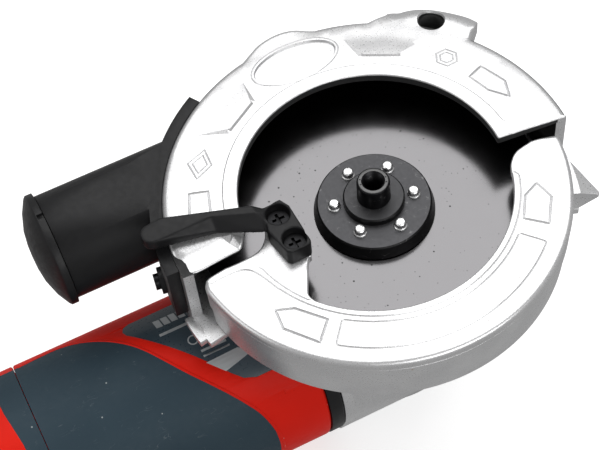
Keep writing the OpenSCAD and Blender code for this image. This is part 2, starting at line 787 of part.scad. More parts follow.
module commutator() {
    bars = 24;
    color(copper) difference() {
        tube_x(-141, -127, 12, 4);
        for (i = [0:bars - 1])
            translate([0, 0, motor_z]) rotate([i * 360 / bars, 0, 0]) translate([-142, -0.3, 10.5])
                cube([13.5, 0.6, 3]);
    }
}

module fan() {
    blades = 11;
    color(black) {
        tube_x(-66, -54.5, 9, 5);
        tube_x(-56.5, -54.5, 29, 8);
        for (i = [0:blades - 1])
            translate([0, 0, motor_z]) rotate([i * 360 / blades, 0, 0]) translate([-65, -0.8, 8])
                cube([9, 1.6, 20.5]);
    }
}

module front_bearing() {
    color(steel) on_motor_axis() translate([0, 0, -45.5]) ball_bearing(5, 15, 9, 8);
}

module rear_bearing() {
    color(steel) on_motor_axis() translate([0, 0, -151]) ball_bearing(4, 11, 7, 7);
}

module stator_core() {
    bore_r = 18.2;
    color(steel) difference() {
        rod_x(-120, -74, 29.9);
        rod_x(-121, -73, bore_r);
        for (side = [-1, 1])
            translate([-121, -13, side > 0 ? motor_z + 12 : motor_z - 24]) cube([48, 26, 12]);
    }
}

module field_windings() {
    color(copper) for (side = [-1, 1])
        translate([-125, -12.4, side > 0 ? motor_z + 18.6 : motor_z - 23.6]) cube([56, 24.8, 5]);
}

module brush_places() {
    for (turn = [90, 270])
        translate([-134, 0, motor_z]) rotate([turn, 0, 0]) children();
}

module brush_holders() {
    color(copper) brush_places() difference() {
        translate([-5, -4.5, 14]) cube([10, 9, 17]);
        translate([-3.6, -3.1, 13]) cube([7.2, 6.2, 17]);
    }
}

module carbon_brushes() {
    color(black) brush_places() translate([-3.5, -3, 12.15]) cube([7, 6, 9]);
}

module brush_springs() {
    color(steel) brush_places() translate([0, 0, 21.2]) coil(2.2, 0.4, 6, 8.7);
}

// ---- rear handle ----

// Outline of the handle: it narrows to the grip and widens again before its rounded tail
function ease(x, a, b) = let (t = min(1, max(0, (x - a) / (b - a)))) t * t * (3 - 2 * t);
function handle_r(x) = body_r - 7.2 * ease(x, -160, -216) + 3 * ease(x, -258, -298);
tail_edge_r = 10;
handle_steps = 22;
handle_front_x = seam_x - 0.3;
handle_points = concat(
    [[body_r - seam_groove, handle_front_x], [body_r, handle_front_x - seam_groove]],
    [for (i = [0:handle_steps]) let (x = -158 + (tail_x + tail_edge_r + 158) * i / handle_steps)
        [handle_r(x), x]],
    shift(arc(tail_edge_r, -18, -90, 5), [handle_r(tail_x) - tail_edge_r, tail_x + tail_edge_r]));
trigger_pin_at = [-194, -19];

module handle_solid(inset) {
    front = inset > 0 ? seam_x + cut : handle_front_x;
    on_motor_axis() rotate_extrude()
        polygon(concat([[0, tail_x + inset], [0, front], [handle_points[0][0] - inset, front]],
                       [for (p = handle_points) [p[0] - inset, max(p[1], tail_x + inset)]]));
}

module handle_screw_places() {
    for (p = [[-162, 26], [-162, -26], [-258, 20], [-300, 17], [-300, -17]])
        translate([p[0], p[1], 0]) children();
}

module handle_shell(side) {
    low = side > 0 ? motor_z : motor_z - 50;
    color(red) difference() {
        intersection() {
            union() {
                difference() {
                    handle_solid(0);
                    handle_solid(handle_wall);
                }
                intersection() {
                    handle_solid(0.2);
                    handle_screw_places() translate([0, 0, motor_z - 50]) cylinder(r = 4.6, h = 100);
                }
            }
            translate([tail_x - 5, -50, low]) cube([200, 100, 50]);
        }
        // spigot of the motor housing and its keys
        rod_x(-152, seam_x + cut, 34.7);
        // overmoulded band
        intersection() {
            tube_x(-152, seam_x + cut, body_r + 2, body_r - 1);
            through_body(-130, -20) band_outline();
        }
        // slot of the trigger
        translate([-254, -50, motor_z - 7.8]) cube([66, 38, 15.6]);
        // pin of the trigger
        translate([trigger_pin_at[0], trigger_pin_at[1], motor_z - 12]) cylinder(r = 2, h = 24);
        // lock-off button
        translate([-184, 4, motor_z]) cylinder(r = 6.2, h = 50);
        // cord inlet
        rod_x(tail_x - 5, tail_x + 8, 9);
        // air inlets
        for (i = [0:5], turn = [60, 120])
            translate([-284 + 5 * i, 0, motor_z]) rotate([side * (90 - turn) + (side > 0 ? 0 : 180), 0, 0])
                translate([-1.2, -6, 20]) cube([2.4, 12, 20]);
        handle_screw_places() {
            translate([0, 0, motor_z - 20]) cylinder(r = side > 0 ? 2.1 : 1.5, h = 60);
            if (side > 0) translate([0, 0, motor_z + 14]) cylinder(r = 3.7, h = 30);
        }
    }
}

module band_outline() {
    polygon([[seam_x, 25.4], [-151, 25.4], [-150, 4], [-148, -10], [-146.5, -40], [seam_x, -40]]);
}

module handle_shell_right() {
    handle_shell(1);
}

module handle_shell_left() {
    handle_shell(-1);
}

module handle_band() {
    color(slate) intersection() {
        tube_x(-152, seam_x - 0.3, body_r, body_r - 1);
        through_body(-130, -20) band_outline();
    }
}

module handle_screws() {
    color(steel) handle_screw_places() translate([0, 0, motor_z + 14]) screw(3.4, 2.4, 1.45, 28);
}

module switch_body() {
    color(black) {
        translate([-250, -11.2, motor_z - 9]) cube([46, 22, 18]);
        translate([-205, -4, motor_z - 6]) cube([28, 14, 12]);
    }
}

module trigger() {
    color(black) difference() {
        translate([0, 0, motor_z - 7.3]) linear_extrude(14.6)
            polygon(concat(shift(arc(5, 110, -70, 12), trigger_pin_at),
                [[-199.6, -29], [-203, -32.6], [-212, -34], [-226, -35.4], [-238, -37.2], [-246, -38],
                 [-249, -36.4], [-250.5, -33], [-250.5, -19], [-249, -16.6], [-204, -15.6]]));
        translate([trigger_pin_at[0], trigger_pin_at[1], motor_z - 20]) cylinder(r = 2 + play, h = 40);
    }
}

module trigger_pin() {
    color(steel) translate([trigger_pin_at[0], trigger_pin_at[1], motor_z - 11.9]) cylinder(r = 2, h = 23.8);
}

module trigger_spring() {
    color(steel) translate([-245, -16.4, motor_z]) rotate([-90, 0, 0]) coil(3, 0.45, 4, 5);
}

module lock_off_button() {
    color(black) translate([-184, 4, 0]) {
        translate([0, 0, motor_z + 14]) cylinder(r = 5.9, h = 23.4);
        translate([0, 0, motor_z + 37.4]) cylinder(r1 = 5.9, r2 = 5, h = 0.8);
    }
}

module lock_off_spring() {
    color(steel) translate([-184, 4, motor_z + 6.1]) coil(3.4, 0.45, 5, 7.8);
}

module capacitor() {
    color([0.85, 0.72, 0.2]) translate([-272, -13, motor_z - 9]) cube([10, 18, 14]);
}

module cord_inlet() {
    inlet_r = 9;
    inlet_bore_r = 4.2;
    color(black) difference() {
        union() {
            rod_x(tail_x - 3, tail_x + 6, inlet_r);
            rod_x(tail_x + 3, tail_x + 5.6, inlet_r);
        }
        rod_x(tail_x - 5, tail_x + 8, inlet_bore_r);
    }
}

upper_guard();
guard_base();
guard_screws();
moving_guard();
guard_lever();
lever_screws();
guard_spring();
guard_retaining_ring();
floor_plate();
floor_plate_screws();
dust_duct();
duct_screw();
dust_cap();
gear_head();
gear_cover();
base_screws();
gear_head_screws();
air_baffle();
pin_flange();
drive_pins();
inner_spindle();
upper_bevel_gear();
lower_bevel_gear();
pinion();
outer_spindle_bearing();
gear_side_bearing();
lower_bearing();
inner_bushes();
spindle_seal();
bearing_circlip();
spindle_lock_button();
spindle_lock_spring();
motor_housing();
motor_grip();
rating_label();
armature_shaft();
armature_core();
armature_windings();
commutator();
fan();
front_bearing();
rear_bearing();
stator_core();
field_windings();
brush_holders();
carbon_brushes();
brush_springs();
handle_shell_right();
handle_shell_left();
handle_band();
handle_screws();
switch_body();
trigger();
trigger_pin();
trigger_spring();
lock_off_button();
lock_off_spring();
capacitor();
cord_inlet();
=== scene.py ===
"""Looks of a twin-blade hand saw with its blades off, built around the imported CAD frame."""
import json
import math

import bmesh
import bpy
from mathutils import Matrix, Vector, geometry, kdtree

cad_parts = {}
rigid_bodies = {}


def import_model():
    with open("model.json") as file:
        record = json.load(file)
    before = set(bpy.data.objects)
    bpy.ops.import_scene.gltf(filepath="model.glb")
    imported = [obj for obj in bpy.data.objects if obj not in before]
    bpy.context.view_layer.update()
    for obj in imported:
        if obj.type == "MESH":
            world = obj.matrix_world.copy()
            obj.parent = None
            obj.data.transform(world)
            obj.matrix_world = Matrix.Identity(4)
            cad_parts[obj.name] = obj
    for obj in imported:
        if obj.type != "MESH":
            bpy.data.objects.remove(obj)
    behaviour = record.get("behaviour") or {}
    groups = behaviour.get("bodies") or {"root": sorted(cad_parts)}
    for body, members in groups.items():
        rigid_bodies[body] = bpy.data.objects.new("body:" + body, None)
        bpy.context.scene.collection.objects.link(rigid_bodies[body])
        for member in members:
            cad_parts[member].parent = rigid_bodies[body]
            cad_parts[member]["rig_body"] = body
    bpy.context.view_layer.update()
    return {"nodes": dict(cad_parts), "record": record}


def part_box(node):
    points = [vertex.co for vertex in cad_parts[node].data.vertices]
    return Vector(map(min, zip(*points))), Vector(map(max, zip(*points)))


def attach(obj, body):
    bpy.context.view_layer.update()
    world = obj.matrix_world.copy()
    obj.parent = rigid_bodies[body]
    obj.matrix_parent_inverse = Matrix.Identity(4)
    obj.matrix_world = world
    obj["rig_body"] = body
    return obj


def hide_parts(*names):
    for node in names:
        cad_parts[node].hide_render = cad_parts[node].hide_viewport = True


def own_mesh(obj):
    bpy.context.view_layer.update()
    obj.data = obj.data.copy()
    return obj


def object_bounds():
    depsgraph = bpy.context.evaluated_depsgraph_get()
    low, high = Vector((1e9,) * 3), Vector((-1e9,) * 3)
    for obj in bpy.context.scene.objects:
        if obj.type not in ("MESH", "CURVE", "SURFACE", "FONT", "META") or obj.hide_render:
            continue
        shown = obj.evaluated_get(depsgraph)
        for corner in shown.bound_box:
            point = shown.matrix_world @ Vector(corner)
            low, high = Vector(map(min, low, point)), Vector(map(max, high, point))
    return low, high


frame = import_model()
nodes = frame["nodes"]
MM = 0.001

# ---- places that come from the frame, in millimetres ----


def node_box(node):
    low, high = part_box(node)
    return low / MM, high / MM


guard_low, guard_high = node_box("upper_guard")
housing_low, housing_high = node_box("motor_housing")
EDGE_BANDS = 5
GUARD_R = -guard_low.x
SWING_R = 70.6
GUARD_Z = guard_high.z
WALL_LOW = guard_low.z
MOTOR_Z = (housing_low.z + housing_high.z) / 2
BODY_R = housing_high.y

# ---- flat outlines ----


def polar(radius, degrees):
    angle = math.radians(degrees)
    return Vector((radius * math.cos(angle), radius * math.sin(angle)))


def arc(radius, start, end, centre=(0, 0), step=1.5):
    count = max(2, math.ceil(abs(math.radians(end - start)) * radius / step))
    return [Vector(centre) + polar(radius, start + (end - start) * i / count) for i in range(count + 1)]


def through(points, count=6):
    """A smooth curve through a few points (Catmull-Rom)."""
    points = [Vector(p) for p in points]
    ends = [points[0] * 2 - points[1]] + points + [points[-1] * 2 - points[-2]]
    curve = []
    for a, b, c, d in zip(ends, ends[1:], ends[2:], ends[3:]):
        for i in range(count):
            t = i / count
            curve.append(0.5 * (2 * b + (c - a) * t + (2 * a - 5 * b + 4 * c - d) * t ** 2
                                + (3 * b - a - 3 * c + d) * t ** 3))
    return curve + [points[-1]]


def resample(points, step):
    dense = [Vector(points[0])]
    for a, b in zip(points, points[1:]):
        a, b = Vector(a), Vector(b)
        count = max(1, math.ceil((b - a).length / step))
        dense += [a.lerp(b, i / count) for i in range(1, count + 1)]
    return dense


def trim_start(points, length):
    points = list(points)
    while length > 0 and len(points) > 2:
        span = (points[1] - points[0]).length
        if span > length:
            points[0] = points[0].lerp(points[1], length / span)
            break
        length -= span
        points.pop(0)
    return points


def trim(points, start, end):
    return trim_start(trim_start(points, start)[::-1], end)[::-1]


def chain(*runs, closed=False, step=1.2):
    """Joins runs of points. A number between two runs is how far from their corner the rounding starts."""
    lines = [resample(r, step) for r in runs if not isinstance(r, (int, float))]
    turns = [r for r in runs if isinstance(r, (int, float))]
    corners = [line[-1].copy() for line in lines]
    before = [turns[-1] if closed else 0] + turns[:len(lines) - 1]
    after = turns + ([] if closed else [0])
    cut = [trim(line, a, b) for line, a, b in zip(lines, before, after)]
    path = []
    for i, line in enumerate(cut):
        path += line
        if i == len(cut) - 1 and not closed:
            break
        follow = cut[(i + 1) % len(cut)][0]
        if after[i] > 0:
            count = max(3, math.ceil(after[i] * 1.6 / step))
            for k in range(1, count):
                t = k / count
                path.append(line[-1] * (1 - t) ** 2 + corners[i] * 2 * t * (1 - t) + follow * t ** 2)
        else:
            path.pop()
    return path


def offset(points, distance, closed=True):
    """Moves an anticlockwise outline outward, by one distance or by one for each point."""
    count = len(points)
    moved = []
    for i, p in enumerate(points):
        a = points[i - 1] if closed or i else p
        c = points[(i + 1) % count] if closed or i < count - 1 else p
        normal = Vector((0, 0))
        for u in ((p - a), (c - p)):
            if u.length > 1e-9:
                u = u.normalized()
                normal += Vector((u.y, -u.x))
        normal = normal.normalized() if normal.length > 1e-9 else Vector((0, 0))
        d = distance[i] if isinstance(distance, list) else distance
        moved.append(p + normal * d)
    return moved


def inside(point, loop):
    found = False
    for a, b in zip(loop, loop[1:] + loop[:1]):
        if (a.y > point.y) != (b.y > point.y):
            if point.x < a.x + (b.x - a.x) * (point.y - a.y) / (b.y - a.y):
                found = not found
    return found


def ease(value, start, end):
    t = min(1, max(0, (value - start) / (end - start)))
    return t * t * (3 - 2 * t)


# ---- shells: points in millimetres and faces, turned into objects ----


class Shell:
    def __init__(self):
        self.points = []
        self.faces = []
        self.slots = []

    def add(self, points):
        first = len(self.points)
        self.points += [Vector(p) for p in points]
        return list(range(first, len(self.points)))

    def ring(self, outline, z):
        return self.add([(p.x, p.y, z[i] if isinstance(z, list) else z) for i, p in enumerate(outline)])

    def face(self, ids, slot=0):
        kept = [v for i, v in enumerate(ids) if v != ids[i - 1]]
        if len(kept) > 2:
            self.faces.append(kept)
            self.slots.append(slot)

    def strip(self, a, b, closed=True, slot=0):
        count = len(a)
        for i in range(count if closed else count - 1):
            j = (i + 1) % count
            self.face([a[i], a[j], b[j], b[i]], slot)

    def rings(self, rows, closed=True, slot=0):
        for a, b in zip(rows, rows[1:]):
            self.strip(a, b, closed, slot)

    def fill(self, loop, holes=(), lines=(), extra=(), flip=False, slot=0):
        """Triangles inside a loop of point ids, which follow lines given as (3-D points, closed)."""
        ids = list(loop)
        edges = []
        for hole in holes:
            first = len(ids)
            ids += hole
            edges += [(first + i, first + (i + 1) % len(hole)) for i in range(len(hole))]
        for points, closed in lines:
            first = len(ids)
            ids += self.add(points)
            edges += [(first + i, first + i + 1) for i in range(len(points) - 1)]
            if closed:
                edges.append((len(ids) - 1, first))
        ids += self.add(extra)
        flat = [self.points[i].xy for i in ids]
        boundary = list(range(len(loop)))
        if sum(a.cross(b) for a, b in zip(flat[:len(loop)], flat[1:len(loop)] + flat[:1])) < 0:
            boundary.reverse()
        found = geometry.delaunay_2d_cdt(flat, edges, [boundary], 1, 1e-6, True)
        places, triangles, origin = found[0], found[2], found[3]
        rim = [[self.points[i].xy for i in hole] for hole in holes]
        tree = kdtree.KDTree(len(ids))
        for i, q in enumerate(flat):
            tree.insert(Vector((q.x, q.y, 0)), i)
        tree.balance()
        known = {}
        for i, q in enumerate(places):
            if origin[i]:
                known[i] = ids[origin[i][0]]
            else:
                near = tree.find(Vector((q.x, q.y, 0)))[1]
                known[i] = self.add([(q.x, q.y, self.points[ids[near]].z)])[0]
        around = [self.points[i].xy for i in loop]
        for t in triangles:
            middle = sum((places[i] for i in t), Vector((0, 0))) / len(t)
            if not inside(middle, around) or any(inside(middle, hole) for hole in rim):
                continue
            corners = [known[i] for i in t]
            self.face(corners[::-1] if flip else corners, slot)

    def revolve(self, profile, start=0, end=360, centre=(0, 0), steps=96, slot=0):
        """A closed solid of revolution about a vertical axis, from a closed (radius, z) section."""
        full = end - start >= 360
        count = steps if full else max(2, round(steps * (end - start) / 360))
        rows = []
        for i in range(count if full else count + 1):
            direction = polar(1, start + (end - start) * i / count)
            rows.append(self.add([(centre[0] + r * direction.x, centre[1] + r * direction.y, z)
                                  for r, z in profile]))
        for a, b in zip(rows, rows[1:] + (rows[:1] if full else [])):
            self.strip(a, b, True, slot)
        if not full:
            self.face(rows[0][::-1], slot)
            self.face(rows[-1], slot)

    def sweep(self, path, profile, slots):
        """A closed (inset, z) section carried along an anticlockwise outline, with a slot for each side."""
        rows = [self.ring(offset(path, -inset, False), z) for inset, z in profile]
        for i, row in enumerate(rows):
            self.strip(row, rows[(i + 1) % len(rows)], False, slots[i])
        self.face([row[0] for row in rows])
        self.face([row[-1] for row in rows][::-1])

    def edge(self, outline, radii, height):
        """A rounded edge from the top to the side. Returns the top's rim and the side's first ring."""
        rows = []
        for k in range(EDGE_BANDS + 1):
            turn = math.pi / 2 * k / EDGE_BANDS
            moved = offset(outline, [-r * (1 - math.sin(turn)) for r in radii])
            rows.append(self.add([(p.x, p.y, height(p) - r * (1 - math.cos(turn)))
                                  for p, r in zip(moved, radii)]))
        self.rings(rows)
        return rows[0], rows[-1]

    def spin(self, profile, centre=(0, 0), steps=64):
        """A surface of revolution whose section runs from axis to axis."""
        rows = []
        for r, z in profile:
            if r == 0:
                rows.append(self.add([(centre[0], centre[1], z)]) * steps)
            else:
                rows.append(self.add([(centre[0] + r * polar(1, 360 * i / steps).x,
                                       centre[1] + r * polar(1, 360 * i / steps).y, z)
                                      for i in range(steps)]))
        self.rings(rows)

    def build(self, name, materials, body, sharp=32, replaces=()):
        mesh = bpy.data.meshes.new(name)
        mesh.from_pydata([p * MM for p in self.points], [], self.faces)
        for m in materials:
            mesh.materials.append(m)
        mesh.polygons.foreach_set("material_index", self.slots)
        piece = bpy.data.objects.new(name, mesh)
        bpy.context.scene.collection.objects.link(piece)
        work = bmesh.new()
        work.from_mesh(mesh)
        bmesh.ops.remove_doubles(work, verts=work.verts, dist=0.002 * MM)
        loose = [v for v in work.verts if not v.link_faces]
        bmesh.ops.delete(work, geom=loose, context="VERTS")
        bmesh.ops.recalc_face_normals(work, faces=work.faces)
        work.to_mesh(mesh)
        work.free()
        shade(piece, sharp)
        return settle(piece, body, replaces)


def shade(piece, sharp):
    piece.data.shade_smooth()
    piece.data.set_sharp_from_angle(angle=math.radians(sharp))


def settle(piece, body, replaces=()):
    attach(piece, body)
    if replaces:
        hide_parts(*replaces)
    return piece


# ---- materials ----


class Look:
    """A procedural material. Every pattern is laid out in the piece's own space, in metres."""

    def __init__(self, name, colour, roughness, metallic=0.0, coat=0.0, specular=0.5):
        self.material = bpy.data.materials.new(name)
        self.material.use_nodes = True
        self.tree = self.material.node_tree
        self.shader = self.tree.nodes["Principled BSDF"]
        self.place = self.tree.nodes.new("ShaderNodeTexCoord")
        self.colour = (*colour, 1)
        self.shader.inputs["Base Color"].default_value = self.colour
        self.shader.inputs["Roughness"].default_value = roughness
        self.shader.inputs["Metallic"].default_value = metallic
        self.shader.inputs["Coat Weight"].default_value = coat
        self.shader.inputs["Specular IOR Level"].default_value = specular
        self.last_colour = None
        self.last_normal = None

    def link(self, source, target):
        self.tree.links.new(source, target)

    def stretched(self, factors):
        mapping = self.tree.nodes.new("ShaderNodeMapping")
        mapping.inputs["Scale"].default_value = factors
        self.link(self.place.outputs["Object"], mapping.inputs["Vector"])
        return mapping.outputs["Vector"]

    def noise(self, size_mm, detail=2.0, stretch=None):
        node = self.tree.nodes.new("ShaderNodeTexNoise")
        node.inputs["Scale"].default_value = 1 / (size_mm * MM)
        node.inputs["Detail"].default_value = detail
        vector = self.stretched(stretch) if stretch else self.place.outputs["Object"]
        self.link(vector, node.inputs["Vector"])
        return node.outputs["Fac"]

    def specks(self, size_mm, share, radius=0.16):
        """Round specks, one in some of the cells of a Voronoi pattern: 1 on a speck, 0 elsewhere."""
        cells = self.tree.nodes.new("ShaderNodeTexVoronoi")
        cells.inputs["Scale"].default_value = 1 / (size_mm * MM)
        self.link(self.place.outputs["Object"], cells.inputs["Vector"])
        split = self.tree.nodes.new("ShaderNodeSeparateColor")
        self.link(cells.outputs["Color"], split.inputs["Color"])
        near = self.remap(cells.outputs["Distance"], radius, radius * 1.5, 1, 0)
        chosen = self.remap(split.outputs["Red"], share, share + 0.01, 1, 0)
        return self.maths("MULTIPLY", near, chosen)

    def scratches(self, size_mm, stretch, width=0.012):
        """Thin curved lines where a stretched noise crosses its middle value."""
        field = self.noise(size_mm, 1.0, stretch)
        level = self.maths("ABSOLUTE", self.maths("SUBTRACT", field, 0.5))
        line = self.remap(level, width * 0.4, width, 1, 0)
        return self.maths("MULTIPLY", line, self.remap(self.noise(size_mm * 0.7), 0.56, 0.62, 0, 1))

    def maths(self, kind, a, b=None):
        node = self.tree.nodes.new("ShaderNodeMath")
        node.operation = kind
        for value, socket in zip((a, b), node.inputs):
            if isinstance(value, (int, float)):
                socket.default_value = value
            elif value is not None:
                self.link(value, socket)
        return node.outputs[0]

    def remap(self, source, low, high, out_low, out_high):
        node = self.tree.nodes.new("ShaderNodeMapRange")
        node.inputs["From Min"].default_value = low
        node.inputs["From Max"].default_value = high
        node.inputs["To Min"].default_value = out_low
        node.inputs["To Max"].default_value = out_high
        self.link(source, node.inputs["Value"])
        return node.outputs["Result"]

    def tint(self, mask, colour, amount=1.0):
        """Mixes a colour over what is there, where the mask is 1."""
        mix = self.tree.nodes.new("ShaderNodeMix")
        mix.data_type = "RGBA"
        if amount != 1.0:
            mask = self.maths("MULTIPLY", mask, amount)
        self.link(mask, mix.inputs["Factor"])
        first, second = [socket for socket in mix.inputs if socket.type == "RGBA"]
        if self.last_colour is None:
            first.default_value = self.colour
        else:
            self.link(self.last_colour, first)
        second.default_value = (*colour, 1)
        self.last_colour = [socket for socket in mix.outputs if socket.type == "RGBA"][0]
        self.link(self.last_colour, self.shader.inputs["Base Color"])
        return self

    def rough(self, source, low, high):
        self.link(self.remap(source, 0.3, 0.7, low, high), self.shader.inputs["Roughness"])
        return self

    def bump(self, source, height_mm, strength=1.0):
        node = self.tree.nodes.new("ShaderNodeBump")
        node.inputs["Distance"].default_value = height_mm * MM
        node.inputs["Strength"].default_value = strength
        self.link(source, node.inputs["Height"])
        if self.last_normal is not None:
            self.link(self.last_normal, node.inputs["Normal"])
        self.last_normal = node.outputs["Normal"]
        self.link(self.last_normal, self.shader.inputs["Normal"])
        return self

    def soft_edges(self, radius_mm):
        node = self.tree.nodes.new("ShaderNodeBevel")
        node.samples = 4
        node.inputs["Radius"].default_value = radius_mm * MM
        self.last_normal = node.outputs["Normal"]
        self.link(self.last_normal, self.shader.inputs["Normal"])
        return self

    def worn_and_highlit_edges(self, radius_mm, colour, amount):
        """Shows a lighter colour where the surface turns sharply: edge wear, with a painted edge highlight.
        """
        bevel = self.tree.nodes.new("ShaderNodeBevel")
        bevel.samples = 4
        bevel.inputs["Radius"].default_value = radius_mm * MM
        geometry_node = self.tree.nodes.new("ShaderNodeNewGeometry")
        dot = self.tree.nodes.new("ShaderNodeVectorMath")
        dot.operation = "DOT_PRODUCT"
        self.link(bevel.outputs["Normal"], dot.inputs[0])
        self.link(geometry_node.outputs["Normal"], dot.inputs[1])
        edge = self.remap(dot.outputs["Value"], 0.97, 0.80, 0, 1)
        broken = self.remap(self.noise(1.3, 3.0), 0.42, 0.62, 0, 1)
        return self.tint(self.maths("MULTIPLY", edge, broken), colour, amount)

    def painted_top_light_mask(self, above_mm):
        """1 where the surface looks along +Z and lies above a height: where painted top light goes."""
        normal = self.tree.nodes.new("ShaderNodeSeparateXYZ")
        self.link(self.place.outputs["Normal"], normal.inputs["Vector"])
        height = self.tree.nodes.new("ShaderNodeSeparateXYZ")
        self.link(self.place.outputs["Object"], height.inputs["Vector"])
        up = self.remap(normal.outputs["Z"], 0.85, 0.95, 0, 1)
        high = self.maths("GREATER_THAN", height.outputs["Z"], above_mm * MM)
        return self.maths("MULTIPLY", up, high)


def cast_silver():
    look = Look("cast_silver", (0.60, 0.60, 0.605), 0.32, metallic=0.7)
    look.tint(look.remap(look.noise(0.45, 3.0), 0.35, 0.7, 0, 1), (0.46, 0.46, 0.465), 0.7)
    look.tint(look.remap(look.noise(14, 2.0), 0.4, 0.7, 0, 1), (0.70, 0.70, 0.70), 0.4)
    look.tint(look.specks(2.2, 0.10, 0.08), (0.16, 0.14, 0.13), 0.7)
    look.tint(look.specks(7.0, 0.10, 0.05), (0.35, 0.20, 0.08), 0.7)
    look.rough(look.noise(0.6, 2.0), 0.26, 0.36)
    look.soft_edges(0.12)
    look.bump(look.noise(0.35, 2.0), 0.05, 0.35)
    look.bump(look.noise(6, 1.0), 0.12, 0.25)
    return look.material


# Near-black for the guards' inner and under faces and the lug's thread: partly their dark inner finish,
# partly painted shade of the blade chamber.
def guard_inside_dark_and_shade():
    look = Look("guard_inside_dark_and_shade", (0.012, 0.012, 0.0125), 0.6, specular=0.3)
    look.tint(look.remap(look.noise(0.5, 3.0), 0.4, 0.7, 0, 1), (0.03, 0.03, 0.03), 0.6)
    look.rough(look.noise(3, 2.0), 0.5, 0.7)
    look.bump(look.noise(0.4, 2.0), 0.05, 0.4)
    return look.material


def moulded_black(name, colour=(0.0075, 0.0075, 0.008), roughness=0.40, edge=0.3):
    look = Look(name, colour, roughness, specular=0.18)
    look.tint(look.remap(look.noise(9, 3.0), 0.35, 0.7, 0, 1), tuple(c * 1.6 for c in colour), 0.6)
    # Lighter sharp edges: edge wear and a painted edge highlight.
    look.worn_and_highlit_edges(edge * 1.3, (0.045, 0.045, 0.047), 0.6)
    look.tint(look.specks(5.0, 0.07, 0.05), (0.22, 0.21, 0.20), 0.7)
    look.rough(look.noise(2.2, 3.0), roughness - 0.05, roughness + 0.08)
    look.soft_edges(edge)
    look.bump(look.noise(0.22, 2.0), 0.03, 0.35)
    return look.material


def moulded_red():
    look = Look("moulded_red", (0.60, 0.014, 0.007), 0.40, specular=0.05)
    look.tint(look.remap(look.noise(22, 2.0), 0.35, 0.7, 0, 1), (0.50, 0.012, 0.006), 0.5)
    # Lighter sharp edges: edge wear and a painted edge highlight.
    look.worn_and_highlit_edges(0.7, (0.68, 0.08, 0.04), 0.5)
    look.tint(look.specks(4.0, 0.05, 0.05), (0.55, 0.40, 0.36), 0.6)
    look.rough(look.noise(1.8, 3.0), 0.36, 0.48)
    look.soft_edges(0.4)
    look.bump(look.noise(0.3, 2.0), 0.03, 0.3)
    look.bump(look.noise(9, 1.0), 0.06, 0.25)
    return look.material


def rubber_slate():
    look = Look("rubber_slate", (0.023, 0.040, 0.053), 0.56, specular=0.12)
    look.tint(look.remap(look.noise(30, 2.0), 0.35, 0.7, 0, 1), (0.030, 0.050, 0.064), 0.7)
    look.tint(look.specks(3.4, 0.11, 0.07), (0.34, 0.36, 0.36), 0.8)
    look.tint(look.scratches(7.0, (1.0, 3.2, 1.0), 0.005), (0.20, 0.22, 0.23), 0.25)
    look.rough(look.noise(2.0, 3.0), 0.48, 0.64)
    look.soft_edges(0.3)
    look.bump(look.noise(0.25, 2.0), 0.04, 0.4)
    return look.material


def label_film():
    look = Look("label_film", (0.026, 0.040, 0.052), 0.30, coat=0.1, specular=0.3)
    look.tint(look.remap(look.noise(26, 1.0), 0.35, 0.65, 0, 1), (0.045, 0.062, 0.075), 0.8)
    look.tint(look.specks(3.0, 0.04, 0.05), (0.4, 0.4, 0.4), 0.5)
    look.rough(look.noise(1.4, 2.0), 0.26, 0.36)
    return look.material


def label_silver():
    look = Look("label_silver", (0.42, 0.44, 0.45), 0.4, metallic=0.4)
    look.tint(look.remap(look.noise(1.2, 2.0, (0.1, 1, 1)), 0.35, 0.7, 0, 1), (0.30, 0.32, 0.33), 0.5)
    look.rough(look.noise(1.0, 2.0), 0.35, 0.45)
    return look.material


def polished_plate():
    look = Look("polished_plate", (0.148, 0.145, 0.149), 0.18, metallic=1.0)
    look.tint(look.specks(1.6, 0.32, 0.11), (0.05, 0.05, 0.05), 0.75)
    look.tint(look.specks(3.0, 0.34, 0.09), (0.012, 0.012, 0.012), 1.0)
    look.tint(look.scratches(9.0, (1.0, 2.6, 1.0), 0.004), (0.16, 0.16, 0.16), 0.3)
    look.rough(look.noise(9, 2.0), 0.16, 0.20)
    look.bump(look.noise(0.5, 2.0), 0.006, 0.3)
    return look.material


def turned_flange():
    look = Look("turned_flange", (0.006, 0.006, 0.0065), 0.42, metallic=0.7)
    # Painted top light: upward faces above each height are lighter than the near-black sides, in two tuned
    # greys.
    look.tint(look.painted_top_light_mask(-1.5), (0.050, 0.050, 0.053))
    look.tint(look.painted_top_light_mask(2.5), (0.038, 0.038, 0.040))
    look.tint(look.scratches(5.0, (1.0, 1.5, 1.0), 0.010), (0.16, 0.16, 0.16), 0.5)
    look.tint(look.specks(1.1, 0.08, 0.09), (0.20, 0.20, 0.20), 0.6)
    look.rough(look.noise(1.2, 3.0), 0.36, 0.5)
    look.soft_edges(0.2)
    look.bump(look.noise(0.3, 2.0), 0.02, 0.3)
    return look.material


def oiled_steel():
    look = Look("oiled_steel", (0.008, 0.008, 0.009), 0.34, metallic=0.8)
    # Painted top light: the post's upward end face is lighter than its near-black sides.
    look.tint(look.painted_top_light_mask(10), (0.085, 0.085, 0.085))
    look.tint(look.scratches(3.0, (1.0, 1.0, 2.0), 0.012), (0.2, 0.2, 0.2), 0.5)
    look.rough(look.noise(1.5, 3.0), 0.28, 0.42)
    look.soft_edges(0.15)
    look.bump(look.noise(0.3, 2.0), 0.015, 0.3)
    return look.material


def metal(name, colour, roughness):
    look = Look(name, colour, roughness, metallic=1.0)
    look.tint(look.remap(look.noise(3.6, 3.0), 0.35, 0.7, 0, 1), tuple(c * 0.7 for c in colour), 0.5)
    look.rough(look.noise(0.6, 3.0), roughness * 0.8, roughness * 1.3)
    look.soft_edges(0.1)
    look.bump(look.noise(0.3, 2.0), 0.01, 0.3)
    return look.material


